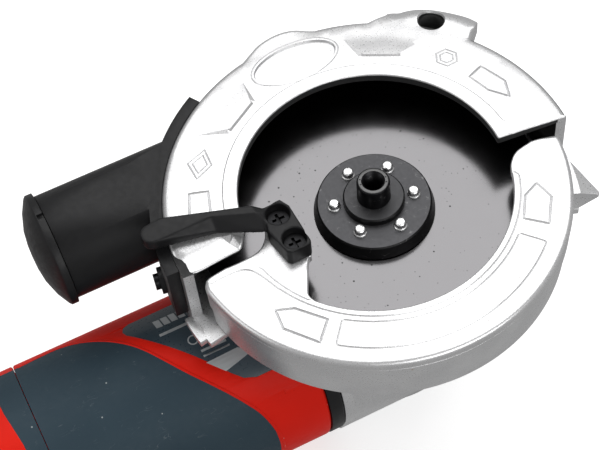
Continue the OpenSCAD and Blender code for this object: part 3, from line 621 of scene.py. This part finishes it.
def laminated():
    look = Look("laminated", (0.22, 0.21, 0.20), 0.42, metallic=0.8)
    sheets = look.noise(0.5, 1.0, (1.0, 0.01, 0.01))
    look.tint(look.remap(sheets, 0.45, 0.55, 0, 1), (0.10, 0.09, 0.09), 0.7)
    look.bump(sheets, 0.08, 0.6)
    return look.material


def wound_copper():
    look = Look("wound_copper", (0.55, 0.22, 0.09), 0.34, metallic=0.9)
    wires = look.noise(0.55, 1.0, (0.02, 1.0, 1.0))
    look.tint(look.remap(wires, 0.42, 0.58, 0, 1), (0.25, 0.07, 0.03), 0.8)
    look.bump(wires, 0.25, 0.8)
    return look.material


def pale_floor():
    look = Look("pale_floor", (0.66, 0.66, 0.66), 0.6)
    look.tint(look.remap(look.noise(60, 2.0), 0.4, 0.6, 0, 1), (0.65, 0.65, 0.65), 0.5)
    look.shader.inputs["Emission Color"].default_value = (1, 1, 1, 1)
    look.shader.inputs["Emission Strength"].default_value = 0.55
    return look.material


SILVER = cast_silver()
# Dark inner finish with painted chamber shade, for the guards' inside and under faces.
INSIDE_DARK_AND_SHADE = guard_inside_dark_and_shade()
PLASTIC = moulded_black("moulded_black")
RED = moulded_red()
SLATE = rubber_slate()
FILM = label_film()
FILM_SILVER = label_silver()
PLATE = polished_plate()
FLANGE = turned_flange()
OILED = oiled_steel()
CHROME = metal("chrome", (0.93, 0.93, 0.93), 0.28)
STEEL = metal("ground_steel", (0.45, 0.45, 0.46), 0.28)
BLACK_STEEL = metal("black_screw", (0.018, 0.018, 0.019), 0.36)
LAMINATED = laminated()
COPPER = wound_copper()
CARBON = moulded_black("pressed_carbon", (0.012, 0.012, 0.013), 0.6, 0.15)
CAPACITOR = moulded_black("film_case", (0.42, 0.28, 0.04), 0.3, 0.4)

SLOT_LOOKS = {"cast_metal": SILVER, "dark_plastic": PLASTIC, "red_plastic": RED, "slate_rubber": SLATE,
              "label_film": FILM, "black_steel": BLACK_STEEL, "bright_steel": STEEL, "dark_plate": PLATE,
              "bare_steel": STEEL, "copper": COPPER, "carbon": CARBON, "film_capacitor": CAPACITOR}
NODE_LOOKS = {"pin_flange": FLANGE, "inner_spindle": OILED, "drive_pins": CHROME,
              "armature_core": LAMINATED, "stator_core": LAMINATED, "lever_screws": BLACK_STEEL}


def dress_frame():
    for part in frame["record"]["subparts"]:
        look = NODE_LOOKS.get(part["node"], SLOT_LOOKS[part["material_slot"]])
        slots = nodes[part["node"]].data.materials
        slots.clear()
        slots.append(look)


# ---- camera, lights and floor ----


CAMERA_TURN, CAMERA_TILT, CAMERA_ROLL = -20.6, 56.66, 6.77
CAMERA_AIM_RIGHT, CAMERA_AIM_UP = -27.45, -5.75
CAMERA_DISTANCE = 559.19


def add_camera():
    turn, tilt, roll = (math.radians(a) for a in (CAMERA_TURN, CAMERA_TILT, CAMERA_ROLL))
    right = Vector((math.cos(turn), math.sin(turn), 0))
    ahead = Vector((-math.sin(turn) * math.cos(tilt), math.cos(turn) * math.cos(tilt), -math.sin(tilt)))
    up = right.cross(ahead)
    centre = right * CAMERA_AIM_RIGHT + up * CAMERA_AIM_UP
    axis_x = right * math.cos(roll) - up * math.sin(roll)
    axis_y = right * math.sin(roll) + up * math.cos(roll)
    camera = bpy.data.objects.new("camera", bpy.data.cameras.new("camera"))
    camera.data.lens = 93.4
    camera.data.clip_start = 0.01
    place = Matrix((axis_x, axis_y, -ahead)).transposed().to_4x4()
    place.translation = (centre - ahead * CAMERA_DISTANCE) * MM
    camera.matrix_world = place
    bpy.context.scene.collection.objects.link(camera)
    bpy.context.scene.camera = camera


def add_light(name, place, target, size, power):
    light = bpy.data.lights.new(name, "AREA")
    light.shape = "RECTANGLE"
    light.size, light.size_y = size
    light.energy = power
    lamp = bpy.data.objects.new(name, light)
    lamp.location = place
    lamp.rotation_euler = (Vector(target) - Vector(place)).to_track_quat("-Z", "Y").to_euler()
    bpy.context.scene.collection.objects.link(lamp)


def add_studio():
    scene = bpy.context.scene
    scene.view_settings.view_transform = "Standard"
    world = bpy.data.worlds.new("studio")
    world.use_nodes = True
    world.node_tree.nodes["Background"].inputs["Color"].default_value = (1, 1, 1, 1)
    world.node_tree.nodes["Background"].inputs["Strength"].default_value = 0.40
    scene.world = world
    add_light("overhead", (0.22, 0.38, 0.95), (0, 0, 0), (1.35, 1.1), 12)
    add_light("front", (0.15, -0.95, 0.55), (0, 0, 0), (0.9, 0.5), 5.5)
    add_light("left", (-0.95, 0.1, 0.45), (-0.1, 0, 0), (0.6, 0.5), 1.5)
    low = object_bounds()[0]
    half = 3.0
    corners = [(x, y, low[2]) for x, y in ((-half, -half), (half, -half), (half, half), (-half, half))]
    mesh = bpy.data.meshes.new("floor")
    mesh.from_pydata(corners, [], [(0, 1, 2, 3)])
    mesh.materials.append(pale_floor())
    floor = bpy.data.objects.new("floor", mesh)
    floor.visible_diffuse = False
    floor.visible_glossy = False
    bpy.context.scene.collection.objects.link(floor)


# ---- flat marks and panels on the two castings ----


def wrap(points):
    """(radius, degrees) pairs as points."""
    return [polar(radius, degrees) for radius, degrees in points]


def groove(points, height, width=1.0, depth=0.45, closed=True):
    """Three lines that press a V-shaped groove into a surface."""
    path = resample(points + [points[0]] if closed else points, 1.2)
    if closed:
        path.pop()
    lines = []
    for shift, drop in ((-width / 2, 0), (0, depth), (width / 2, 0)):
        moved = offset(path, shift, closed)
        lines.append(([(p.x, p.y, height(p) - drop) for p in moved], closed))
    return lines


def ridge(corners, height, rise, width):
    """A raised wedge: its long side and legs slope up over a width, and its legs fade out at their ends."""
    a, b, c, d = corners
    high_b = b.lerp(d, width / (d - b).length)
    high_c = c.lerp(a, width / (a - c).length)
    foot = resample([a, b, c, d], 1.2)
    crest = resample([a, high_b, high_c, d], 1.2)

    def lift(p):
        share = (a.length - p.length) / (a.length - high_b.length)
        return rise * min(1, max(0, share))

    lines = [([(p.x, p.y, height(p)) for p in foot], False),
             ([(p.x, p.y, height(p) + lift(p)) for p in crest], False)]
    return lines, [a, high_b, high_c, d], [a, b, c, d], lift


def grid(outline, lines, height, step, clear=1.3, banned=(), raised=()):
    """Points that carry a surface between its lines."""
    tree = kdtree.KDTree(sum(len(points) for points, _ in lines) + len(outline))
    index = 0
    for p in [Vector((q[0], q[1], 0)) for points, _ in lines for q in points]:
        tree.insert(p, index)
        index += 1
    for p in outline:
        tree.insert(Vector((p.x, p.y, 0)), index)
        index += 1
    tree.balance()
    found = []
    reach = max(p.length for p in outline)
    count = math.ceil(reach * 2 / step)
    for i in range(count + 1):
        for j in range(count + 1):
            p = Vector((-reach + (i + 0.5 * (j % 2)) * step, -reach + j * step))
            if tree.find(Vector((p.x, p.y, 0)))[2] < clear or not inside(p, outline):
                continue
            extra = 0
            for crest, foot, lift in raised:
                if inside(p, crest):
                    extra = lift(p)
                elif inside(p, foot):
                    extra = None
            if extra is None or any(inside(p, shape) for shape in banned):
                continue
            found.append((p.x, p.y, height(p) + extra))
    return found


# ---- fixed guard ----

LUG = Vector((54.6, 56.8))
LUG_HOLE_R = 5.4
LUG_BACK = wrap([(87.2, 35.0), (87.8, 38.5), (87.5, 44), (86.9, 49), (84.8, 54), (80.6, 58.6), (75.6, 64)])
OVAL = Vector((0, 63.1))
RIM_UNDER = 8.0
LOBE_UNDER = 1.0
RIM_STEP_R = 72.6


def rim_height(p):
    """The fixed guard's top surface, before its marks."""
    r = p.length
    az = math.degrees(math.atan2(p.y, p.x)) % 360
    if r < 53.5:
        height = GUARD_Z - 0.02
    else:
        height = GUARD_Z - 0.3 - 0.9 * ease(r, 56, 72.4) - 0.45 * ease(r, 71, 75.4)
    if 30 < az < 70 and r > GUARD_R:
        edge = min((p - q).length for q in LUG_CURVE)
        fall = max(0, min(8, r - GUARD_R, 8 - edge))
        height -= 9 - math.sqrt(81 - fall * fall)
    if 171 < az < 190:
        height -= 1.9 * ease(az, 172.3, 177.3)
    return height


LUG_CURVE = through(LUG_BACK, 8)


def fixed_guard_outline():
    hump = through(wrap([(75.4, 79), (76.6, 81.6), (78.6, 84.6), (79.7, 88), (79.8, 91.7), (78.9, 96),
                         (77.2, 99.5), (75.4, 103.5)]))
    right_end = [polar(48.2, -5.5), polar(GUARD_R, -5.5)]
    left_end = [polar(GUARD_R, 182), Vector((-52.5, -1.5))]
    return chain(arc(GUARD_R, -5.5, 33.2), 0.6, [polar(GUARD_R, 33.2), LUG_BACK[0]], 1.2,
                 LUG_CURVE + arc(GUARD_R, 65, 79)[:-1] + hump + arc(GUARD_R, 104.5, 182), 0.8,
                 left_end, 0.8, [left_end[1], polar(48.2, 174)], 0.8, arc(48.2, 174, -5.5), 0.7,
                 right_end, 0.7, closed=True)


def arrow_mark(mirror_at=None):
    points = [(65.4, 24.8), (66, 15.3), (62.2, 9.3), (58.3, 16), (58.6, 25.1)]
    if mirror_at:
        points = [(r, mirror_at - az) for r, az in points][::-1]
    return wrap(points)


def upper_guard():
    shell = Shell()
    outline = fixed_guard_outline()
    start = next(i for i, p in enumerate(outline)
                 if p.length < RIM_STEP_R <= outline[(i + 1) % len(outline)].length)
    outline = outline[start + 1:] + outline[:start + 1]
    radii = []
    for p in outline:
        on_lug = p.length > 80.5
        at_end = abs(math.degrees(math.atan2(p.y, p.x)) + 5.5) < 0.6
        radii.append(0.5 if at_end or on_lug else 0.6 + 1.3 * ease(p.length, 68, 74))
    top_rim, side = shell.edge(outline, radii, rim_height)
    under = shell.ring(outline, RIM_UNDER)
    outer = next(i for i, p in enumerate(outline) if p.length < RIM_STEP_R)
    low = shell.ring(outline[:outer], LOBE_UNDER)
    step_arc = [p.normalized() * RIM_STEP_R for p in outline[:outer]]
    arc_high, arc_low = shell.ring(step_arc, RIM_UNDER), shell.ring(step_arc, LOBE_UNDER)
    shell.strip(side[:outer], low, False)
    shell.strip(side[outer:], under[outer:], False, 1)
    shell.face([side[outer - 1], side[outer], under[outer], arc_high[-1], arc_low[-1], low[-1]])
    shell.face([side[-1], side[0], low[0], arc_low[0], arc_high[0], under[-1]])
    shell.strip(arc_low, arc_high, False, 1)

    mouth_circle = arc(LUG_HOLE_R, 0, 360, LUG, 0.9)[:-1]
    mouth = shell.ring(mouth_circle, [rim_height(p) for p in mouth_circle])
    throat_circle = [LUG + (p - LUG) * 0.92 for p in mouth_circle]
    throat = shell.ring(throat_circle, [rim_height(p) - 0.8 for p in mouth_circle])
    throat_low = shell.ring(throat_circle, LOBE_UNDER)
    shell.strip(mouth, throat)
    shell.strip(throat, throat_low, slot=1)
    shell.fill(low + arc_low[::-1], [throat_low], flip=True)
    shell.fill(arc_high + under[outer:], flip=True, slot=1)

    lines = [([(p.x, p.y, GUARD_Z - 0.02) for p in arc(53.25, 2, 177)], False),
             ([(p.x, p.y, GUARD_Z - 0.3) for p in arc(53.7, 2, 177)], False)]
    oval = [OVAL + Vector((16.5 * polar(1, a * 5).x, 8.3 * polar(1, a * 5).y)) for a in range(72)]
    for shift, lift in ((1.3, 0), (1.05, -0.25), (0.8, 0), (0.1, 0), (-0.3, -1.0), (-1.5, -1.0)):
        lines.append(([(p.x, p.y, rim_height(p) + lift) for p in offset(oval, shift)], True))
    raised = []
    for corners in (((67.2, 72.1), (57.5, 67.8), (57.9, 51.1), (67.4, 46.7)),
                    ((68.7, 133.3), (56.9, 129), (57.1, 111.7), (67.3, 108.4))):
        found, crest, foot, lift = ridge(wrap(corners), rim_height, 0.8, 1.9)
        lines += found
        raised.append((crest, foot, lift))
    diamond = wrap([(58.6, 143.7), (63, 149.6), (67.6, 143.7), (63, 137.8)])
    hexagon = [polar(62.4, 36.4) + polar(4.3, 60 * k + 6) for k in range(6)]
    for mark in (diamond, hexagon):
        lines += groove(mark, rim_height, 0.7, 0.4)
        middle = sum(mark, Vector((0, 0))) / len(mark)
        lines += groove([middle + (p - middle) * 0.62 for p in mark], rim_height, 0.6, 0.35)
    lines += groove(arrow_mark(), rim_height)
    lines += groove(arrow_mark(180), rim_height)
    inset = [Vector(shell.points[i].xy) for i in top_rim]
    extra = grid(inset, lines + [([tuple(p) for p in mouth_circle], True)], rim_height, 3.2,
                 banned=[offset(oval, 1.3), mouth_circle], raised=raised)
    extra += [(p.x, p.y, rim_height(p)) for r in (84.5, 82, 79.5, 77)
              for p in arc(r, 35.5, 60) if inside(p, inset) and (p - LUG).length > LUG_HOLE_R + 0.9
              and min((p - q).length for q in inset) > 0.9]
    extra += [(OVAL.x, OVAL.y, rim_height(OVAL) - 1.0)]
    shell.fill(top_rim, [mouth], lines, extra)
    shell.build("fixed_guard_top", [SILVER, INSIDE_DARK_AND_SHADE], "root", sharp=21,
                replaces=["upper_guard"])

    wall = Shell()
    path = arc(GUARD_R, -5.45, 181.95, step=2.5)
    wall.sweep(path, [(0.05, 8.9), (0.05, WALL_LOW + 0.6), (0.65, WALL_LOW), (4, WALL_LOW), (4, 8.2)],
               (0, 0, 0, 1, 1))
    wall.build("fixed_guard_wall", [SILVER, INSIDE_DARK_AND_SHADE], "root")

    sleeve = Shell()
    turns = [(4.86 if k % 2 else 4.3, -7.4 + 0.625 * k) for k in range(24)]
    sleeve.revolve([(8.3, LOBE_UNDER - 0.02), (8.3, -7.2), (7.5, -8), (4.95, -8)] + turns
                   + [(4.93, turns[-1][1] + 0.2), (4.93, LOBE_UNDER - 0.02)], centre=LUG, steps=64, slot=1)
    sleeve.build("handle_lug_thread", [SILVER, INSIDE_DARK_AND_SHADE], "root", sharp=25)


# ---- retractable guard ----

SWING_TOP = 7.0
SWING_UNDER = 4.6
SWING_LOW = -17.5
TAB_RISE = 0.98
SWING_FLOOR_TOP = -14.8


def swing_height(p):
    tab = ease(p.x, -46.5, -42.5) * ease(p.y, -20, -16) * (1 - ease(p.x, -29, -26))
    return SWING_TOP - 0.25 * ease(p.length, 60, 69) + TAB_RISE * tab


def swing_back():
    """The outer edge, from the left end round the front to the right end."""
    left = wrap([(60.5, -175.9), (SWING_R, -175.6)])
    right = wrap([(SWING_R, -8), (60, -8.2)])
    return chain(left, 4.5, arc(SWING_R, -175.3, -8), 3, right)


def swing_outline():
    inner = through(wrap([(60, -8.2), (53.5, -10.8), (50.2, -15.5), (49.4, -20.3)])) + arc(49.6, -21, -142)
    hook = through([(-39.7, -28.1), (-38.8, -25.7), (-33.8, -16.1), (-31.8, -15)])
    pad_far = [Vector((-31.8, -15)), Vector((-31.8, 5.5))]
    pad_back = [Vector((-31.8, 5.5)), Vector((-40.6, 5.8))]
    notch = through([(-40.6, 5.8), (-43.3, -0.5), (-47.7, -3.6), (-54, -4.4), (-60.3, -4.4)])
    return chain(swing_back(), 0, inner, 1.5, [inner[-1], hook[0]], 0.8, hook, 0.8, pad_far, 0.8,
                 pad_back, 1.5, notch, 0, closed=True)


def moving_guard():
    shell = Shell()
    outline = swing_outline()
    radii = [0.6 + 1.3 * ease(p.length, 62, 69) if p.y < -6 or p.x > 0 else 1.0 for p in outline]
    top_rim, side = shell.edge(outline, radii, swing_height)
    under = shell.ring(outline, SWING_UNDER)
    shell.strip(side, under, slot=0)
    shell.fill(under, flip=True, slot=1)
    outer_band = [polar(50.9, -20.6), polar(51.6, -21.4)] + arc(51.9, -22.5, -155)
    outer_band += through(wrap([(52.1, -156.5), (52.6, -166), (55.1, -171), (60.6, -172.9), (67.6, -173.4)]))
    lines = groove(outer_band, swing_height, 0.7, 0.3, closed=False)
    lines += groove(arc(50.4, -167, -144), swing_height, 0.6, 0.25, closed=False)
    window = chain(arc(64, -129, -48.7), 1, wrap([(64, -48.7), (54, -48.7)]), 1, arc(54, -48.7, -129), 1,
                   wrap([(54, -129), (64, -129)]), 1, closed=True)
    lines += groove(window, swing_height, 0.7, 0.3)
    left_arrow = wrap([(59.4, -151.8), (55.4, -146.6), (55.1, -134), (64.3, -133.9), (64, -146.1)])
    right_arrow = wrap([(57.7, -26.1), (62.6, -31.5), (63, -42), (54, -42), (53.5, -31.6)])
    lines += groove(left_arrow, swing_height) + groove(right_arrow[::-1], swing_height)
    inset = [Vector(shell.points[i].xy) for i in top_rim]
    shell.fill(top_rim, [], lines, grid(inset, lines, swing_height, 3.0))
    shell.build("swing_guard_top", [SILVER, INSIDE_DARK_AND_SHADE], "swing_guard", sharp=21,
                replaces=["moving_guard"])

    wall = Shell()
    path = swing_back()
    wall.sweep(path, [(0.05, 4.9), (0.05, 3.0), (0.45, 2.7), (0.2, 2.4), (0.3, -4.9), (0.7, -5.2),
                      (0.7, -5.5), (1.2, -16.9), (1.8, SWING_LOW), (4.2, SWING_LOW), (4.2, 4.9)],
               (0, 0, 0, 0, 0, 0, 0, 0, 0, 1, 1))
    wall.build("swing_guard_wall", [SILVER, INSIDE_DARK_AND_SHADE], "swing_guard")

    low = Shell()
    floor_low = SWING_LOW + 0.1
    low.revolve([(34.5, floor_low), (67.2, floor_low), (67.2, SWING_FLOOR_TOP), (34.5, SWING_FLOOR_TOP)],
                -175, -8.3, steps=200)
    low.build("swing_guard_floor", [SILVER], "swing_guard")
    hub = Shell()
    hub.revolve([(30.05, SWING_LOW + 0.1), (36.1, SWING_LOW + 0.1), (36.5, SWING_LOW + 0.5), (36.5, -15.2),
                 (36.1, -14.9), (30.05, -14.9)], steps=160)
    hub.build("swing_guard_hub", [SILVER], "swing_guard")


# ---- pieces made from the CAD meshes, with real rounded edges ----


def copied(node, name, work):
    source = nodes[node]
    mesh = bpy.data.meshes.new(name)
    work.to_mesh(mesh)
    work.free()
    mesh.materials.append(source.data.materials[0])
    piece = bpy.data.objects.new(name, mesh)
    bpy.context.scene.collection.objects.link(piece)
    return piece


def applied(piece):
    """Replaces the piece's mesh with what its modifiers make of it."""
    graph = bpy.context.evaluated_depsgraph_get()
    mesh = bpy.data.meshes.new_from_object(piece.evaluated_get(graph))
    piece.modifiers.clear()
    piece.data = mesh


def merged(node):
    work = bmesh.new()
    work.from_mesh(nodes[node].data)
    bmesh.ops.remove_doubles(work, verts=work.verts, dist=0.004 * MM)
    bmesh.ops.recalc_face_normals(work, faces=work.faces)
    return work


def stand_in(piece, node, sharp):
    """Puts a copy in the place of the CAD node it was made from."""
    shade(piece, sharp)
    settle(piece, nodes[node]["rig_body"], [node])


def eased(node, width_mm):
    """A copy of a CAD mesh whose sharp edges are rounded."""
    work = merged(node)
    bmesh.ops.dissolve_limit(work, angle_limit=math.radians(0.6), verts=work.verts, edges=work.edges)
    piece = copied(node, node + "_eased", work)
    bevel = piece.modifiers.new("rounding", "BEVEL")
    bevel.width = width_mm * MM
    bevel.segments = 2
    bevel.limit_method = "ANGLE"
    bevel.angle_limit = math.radians(38)
    bevel.use_clamp_overlap = True
    applied(piece)
    stand_in(piece, node, 35)


def softened(node, voxel_mm, passes):
    """A copy of a CAD mesh, made of small even faces and smoothed, as a moulding with no sharp edge."""
    piece = copied(node, node + "_moulded", merged(node))
    remesh = piece.modifiers.new("voxels", "REMESH")
    remesh.mode = "VOXEL"
    remesh.voxel_size = voxel_mm * MM
    smooth = piece.modifiers.new("smooth", "SMOOTH")
    smooth.factor = 0.5
    smooth.iterations = passes
    applied(piece)
    stand_in(piece, node, 60)


def squeezed(node):
    """A copy of a spring, in its CAD node's place and with a mesh of its own."""
    piece = copied(node, node + "_coil", merged(node))
    stand_in(piece, node, 40)
    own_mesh(piece)


EASED = {"dust_duct": 0.6, "dust_cap": 0.6, "gear_head": 0.8, "gear_cover": 0.7, "guard_base": 0.4,
         "motor_housing": 0.4, "trigger": 0.8, "cord_inlet": 0.3, "air_baffle": 0.2,
         "spindle_lock_button": 0.3, "switch_body": 0.4, "capacitor": 0.5, "fan": 0.2}
SOFTENED = {"guard_lever": (0.45, 4), "lock_off_button": (0.4, 4)}


# ---- hub ----

POST_TOP = 12.2


def inner_spindle():
    """The post with its thread and the four dimples in its end."""
    shell = Shell()
    steps = 96
    thread = [(3.85 if k % 2 else 3.45, -7.6 + 0.5 * k) for k in range(39)]
    low = -105.5
    rows = []
    for r, z in [(6, low), (6, POST_TOP - 0.9), (5.8, POST_TOP - 0.4), (5.4, POST_TOP - 0.1),
                 (5.15, POST_TOP)]:
        rows.append(shell.ring(arc(r, 0, 360, step=math.tau * r / steps)[:steps], z))
    shell.rings(rows)
    bore = []
    for r, z in [(4.25, POST_TOP), (3.95, POST_TOP - 0.3)] + thread[::-1]:
        bore.append(shell.ring(arc(r, 0, 360, step=math.tau * r / steps)[:steps], z))
    shell.rings(bore)
    dimples = []
    for turn in (-34, -8, 146, 172):
        centre = polar(4.7, turn)
        rim = shell.ring(arc(0.3, 0, 360, centre, 0.15)[:-1], POST_TOP)
        tip = shell.add([(centre.x, centre.y, POST_TOP - 0.4)])[0]
        for i, a in enumerate(rim):
            shell.face([a, rim[(i + 1) % len(rim)], tip])
        dimples.append(rim)
    shell.fill(rows[-1], [bore[0]] + dimples)
    shell.fill(rows[0], flip=True)
    shell.fill(bore[-1])
    shell.build("blade_post", [OILED], "inner_spindle_unit", sharp=28,
                replaces=["inner_spindle"])


def drive_pins():
    section = [(0, 2.9), (1.25, 2.88), (1.7, 2.65), (1.98, 2.2), (2.05, 1.8), (2.05, 0.75), (2.4, 0.5),
               (2.5, 0.02), (0, 0.02)]
    shell = Shell()
    for k in range(6):
        shell.spin(section, polar(14.5, 42.7 + 60 * k), 40)
    shell.build("blade_pins", [CHROME], "outer_spindle", sharp=40, replaces=["drive_pins"])


# ---- marks and lip on the motor housing, laid on its cylinder ----

PATCH_LIFT = 0.04
PATCH_DEPTH = 0.3


def on_body(x, along, lift):
    """A point of the housing, from its place along the axis and round the skin from the top."""
    turn = along / BODY_R
    radius = BODY_R + lift
    return x, radius * math.sin(turn), MOTOR_Z + radius * math.cos(turn)


def skin(points):
    """Points seen from above, as places along the axis and round the skin."""
    return [Vector((x, BODY_R * math.asin(y / BODY_R))) for x, y in points]


def body_patch(shell, outline):
    """A closed sheet laid on the housing, just proud of it and sunk a little into it."""
    path = resample(outline + [outline[0]], 1.5)[:-1]
    first = len(shell.points)
    top = shell.ring(path, 0)
    inner = [(p[0], p[1], 0) for p in grid(path, [], lambda p: 0, 2.0, clear=0.8)]
    shell.fill(top, extra=inner)
    low = shell.ring(path, -PATCH_DEPTH - PATCH_LIFT)
    shell.fill(low, flip=True)
    shell.strip(low, top)
    for i in range(first, len(shell.points)):
        p = shell.points[i]
        shell.points[i] = Vector(on_body(p.x, p.y, p.z + PATCH_LIFT))


def label_marks():
    """Plain bars and blocks where a label has print, and a silver band. They say nothing."""
    shell = Shell()
    for k in range(4):
        x = -87 + 3.1 * k
        body_patch(shell, skin([(x + 0.4, 11.2), (x + 2.9, 11.0), (x + 2.5, 15.2), (x, 15.4)]))
    for x, y, length, height in ((-87, 6.6, 11, 1.3), (-76, -6.6, 10, 0.9), (-76, -8.6, 10.5, 0.7)):
        body_patch(shell, skin([(x, y), (x + length, y), (x + length, y + height), (x, y + height)]))
    for k in range(16):
        a, b = polar(1, 22.5 * k), polar(1, 22.5 * (k + 1))
        middle = Vector((-76.8, -0.6))
        body_patch(shell, [middle + a * 1.6, middle + a * 2.1, middle + b * 2.1, middle + b * 1.6])
    body_patch(shell, skin([(-76.2, -10.8), (-70.9, -16.3), (-58.4, -13.6), (-63.4, -10.4)]))
    shell.build("label_marks", [FILM_SILVER], "root")


def grip_lip():
    """A fine raised bead of the red housing round the soft pad."""
    plan = [(-139, 25.4), (-126, 26.4), (-119.4, 25.4), (-113.2, 22.3), (-106, 17), (-99.3, 10.4),
            (-94.6, 4.4), (-89.3, -3.7), (-84, -11.1), (-78.4, -17.5), (-72.8, -23.4), (-68.3, -28),
            (-65, -31.4), (-62.6, -34.6)]
    path = skin(plan) + [Vector((-60.6, -54)), Vector((-60.3, -62))]
    path = resample(through(path, 5), 1.5)
    shell = Shell()
    rows = []
    for side, lift in ((-0.75, -0.25), (-0.7, 0.05), (-0.4, 0.25), (0.1, 0.25), (0.35, 0.05), (0.4, -0.25)):
        moved = offset(path, side, closed=False)
        rows.append(shell.add([on_body(p.x, p.y, lift) for p in moved]))
    shell.rings(rows + [rows[0]], False)
    shell.face([row[0] for row in rows])
    shell.face([row[-1] for row in rows][::-1])
    shell.build("grip_lip", [RED], "root", sharp=50)


# ---- build everything ----

add_camera()
add_studio()
dress_frame()
upper_guard()
moving_guard()
inner_spindle()
drive_pins()
label_marks()
grip_lip()
for node, width in EASED.items():
    eased(node, width)
for node, (voxel, passes) in SOFTENED.items():
    softened(node, voxel, passes)
squeezed("spindle_lock_spring")
squeezed("trigger_spring")
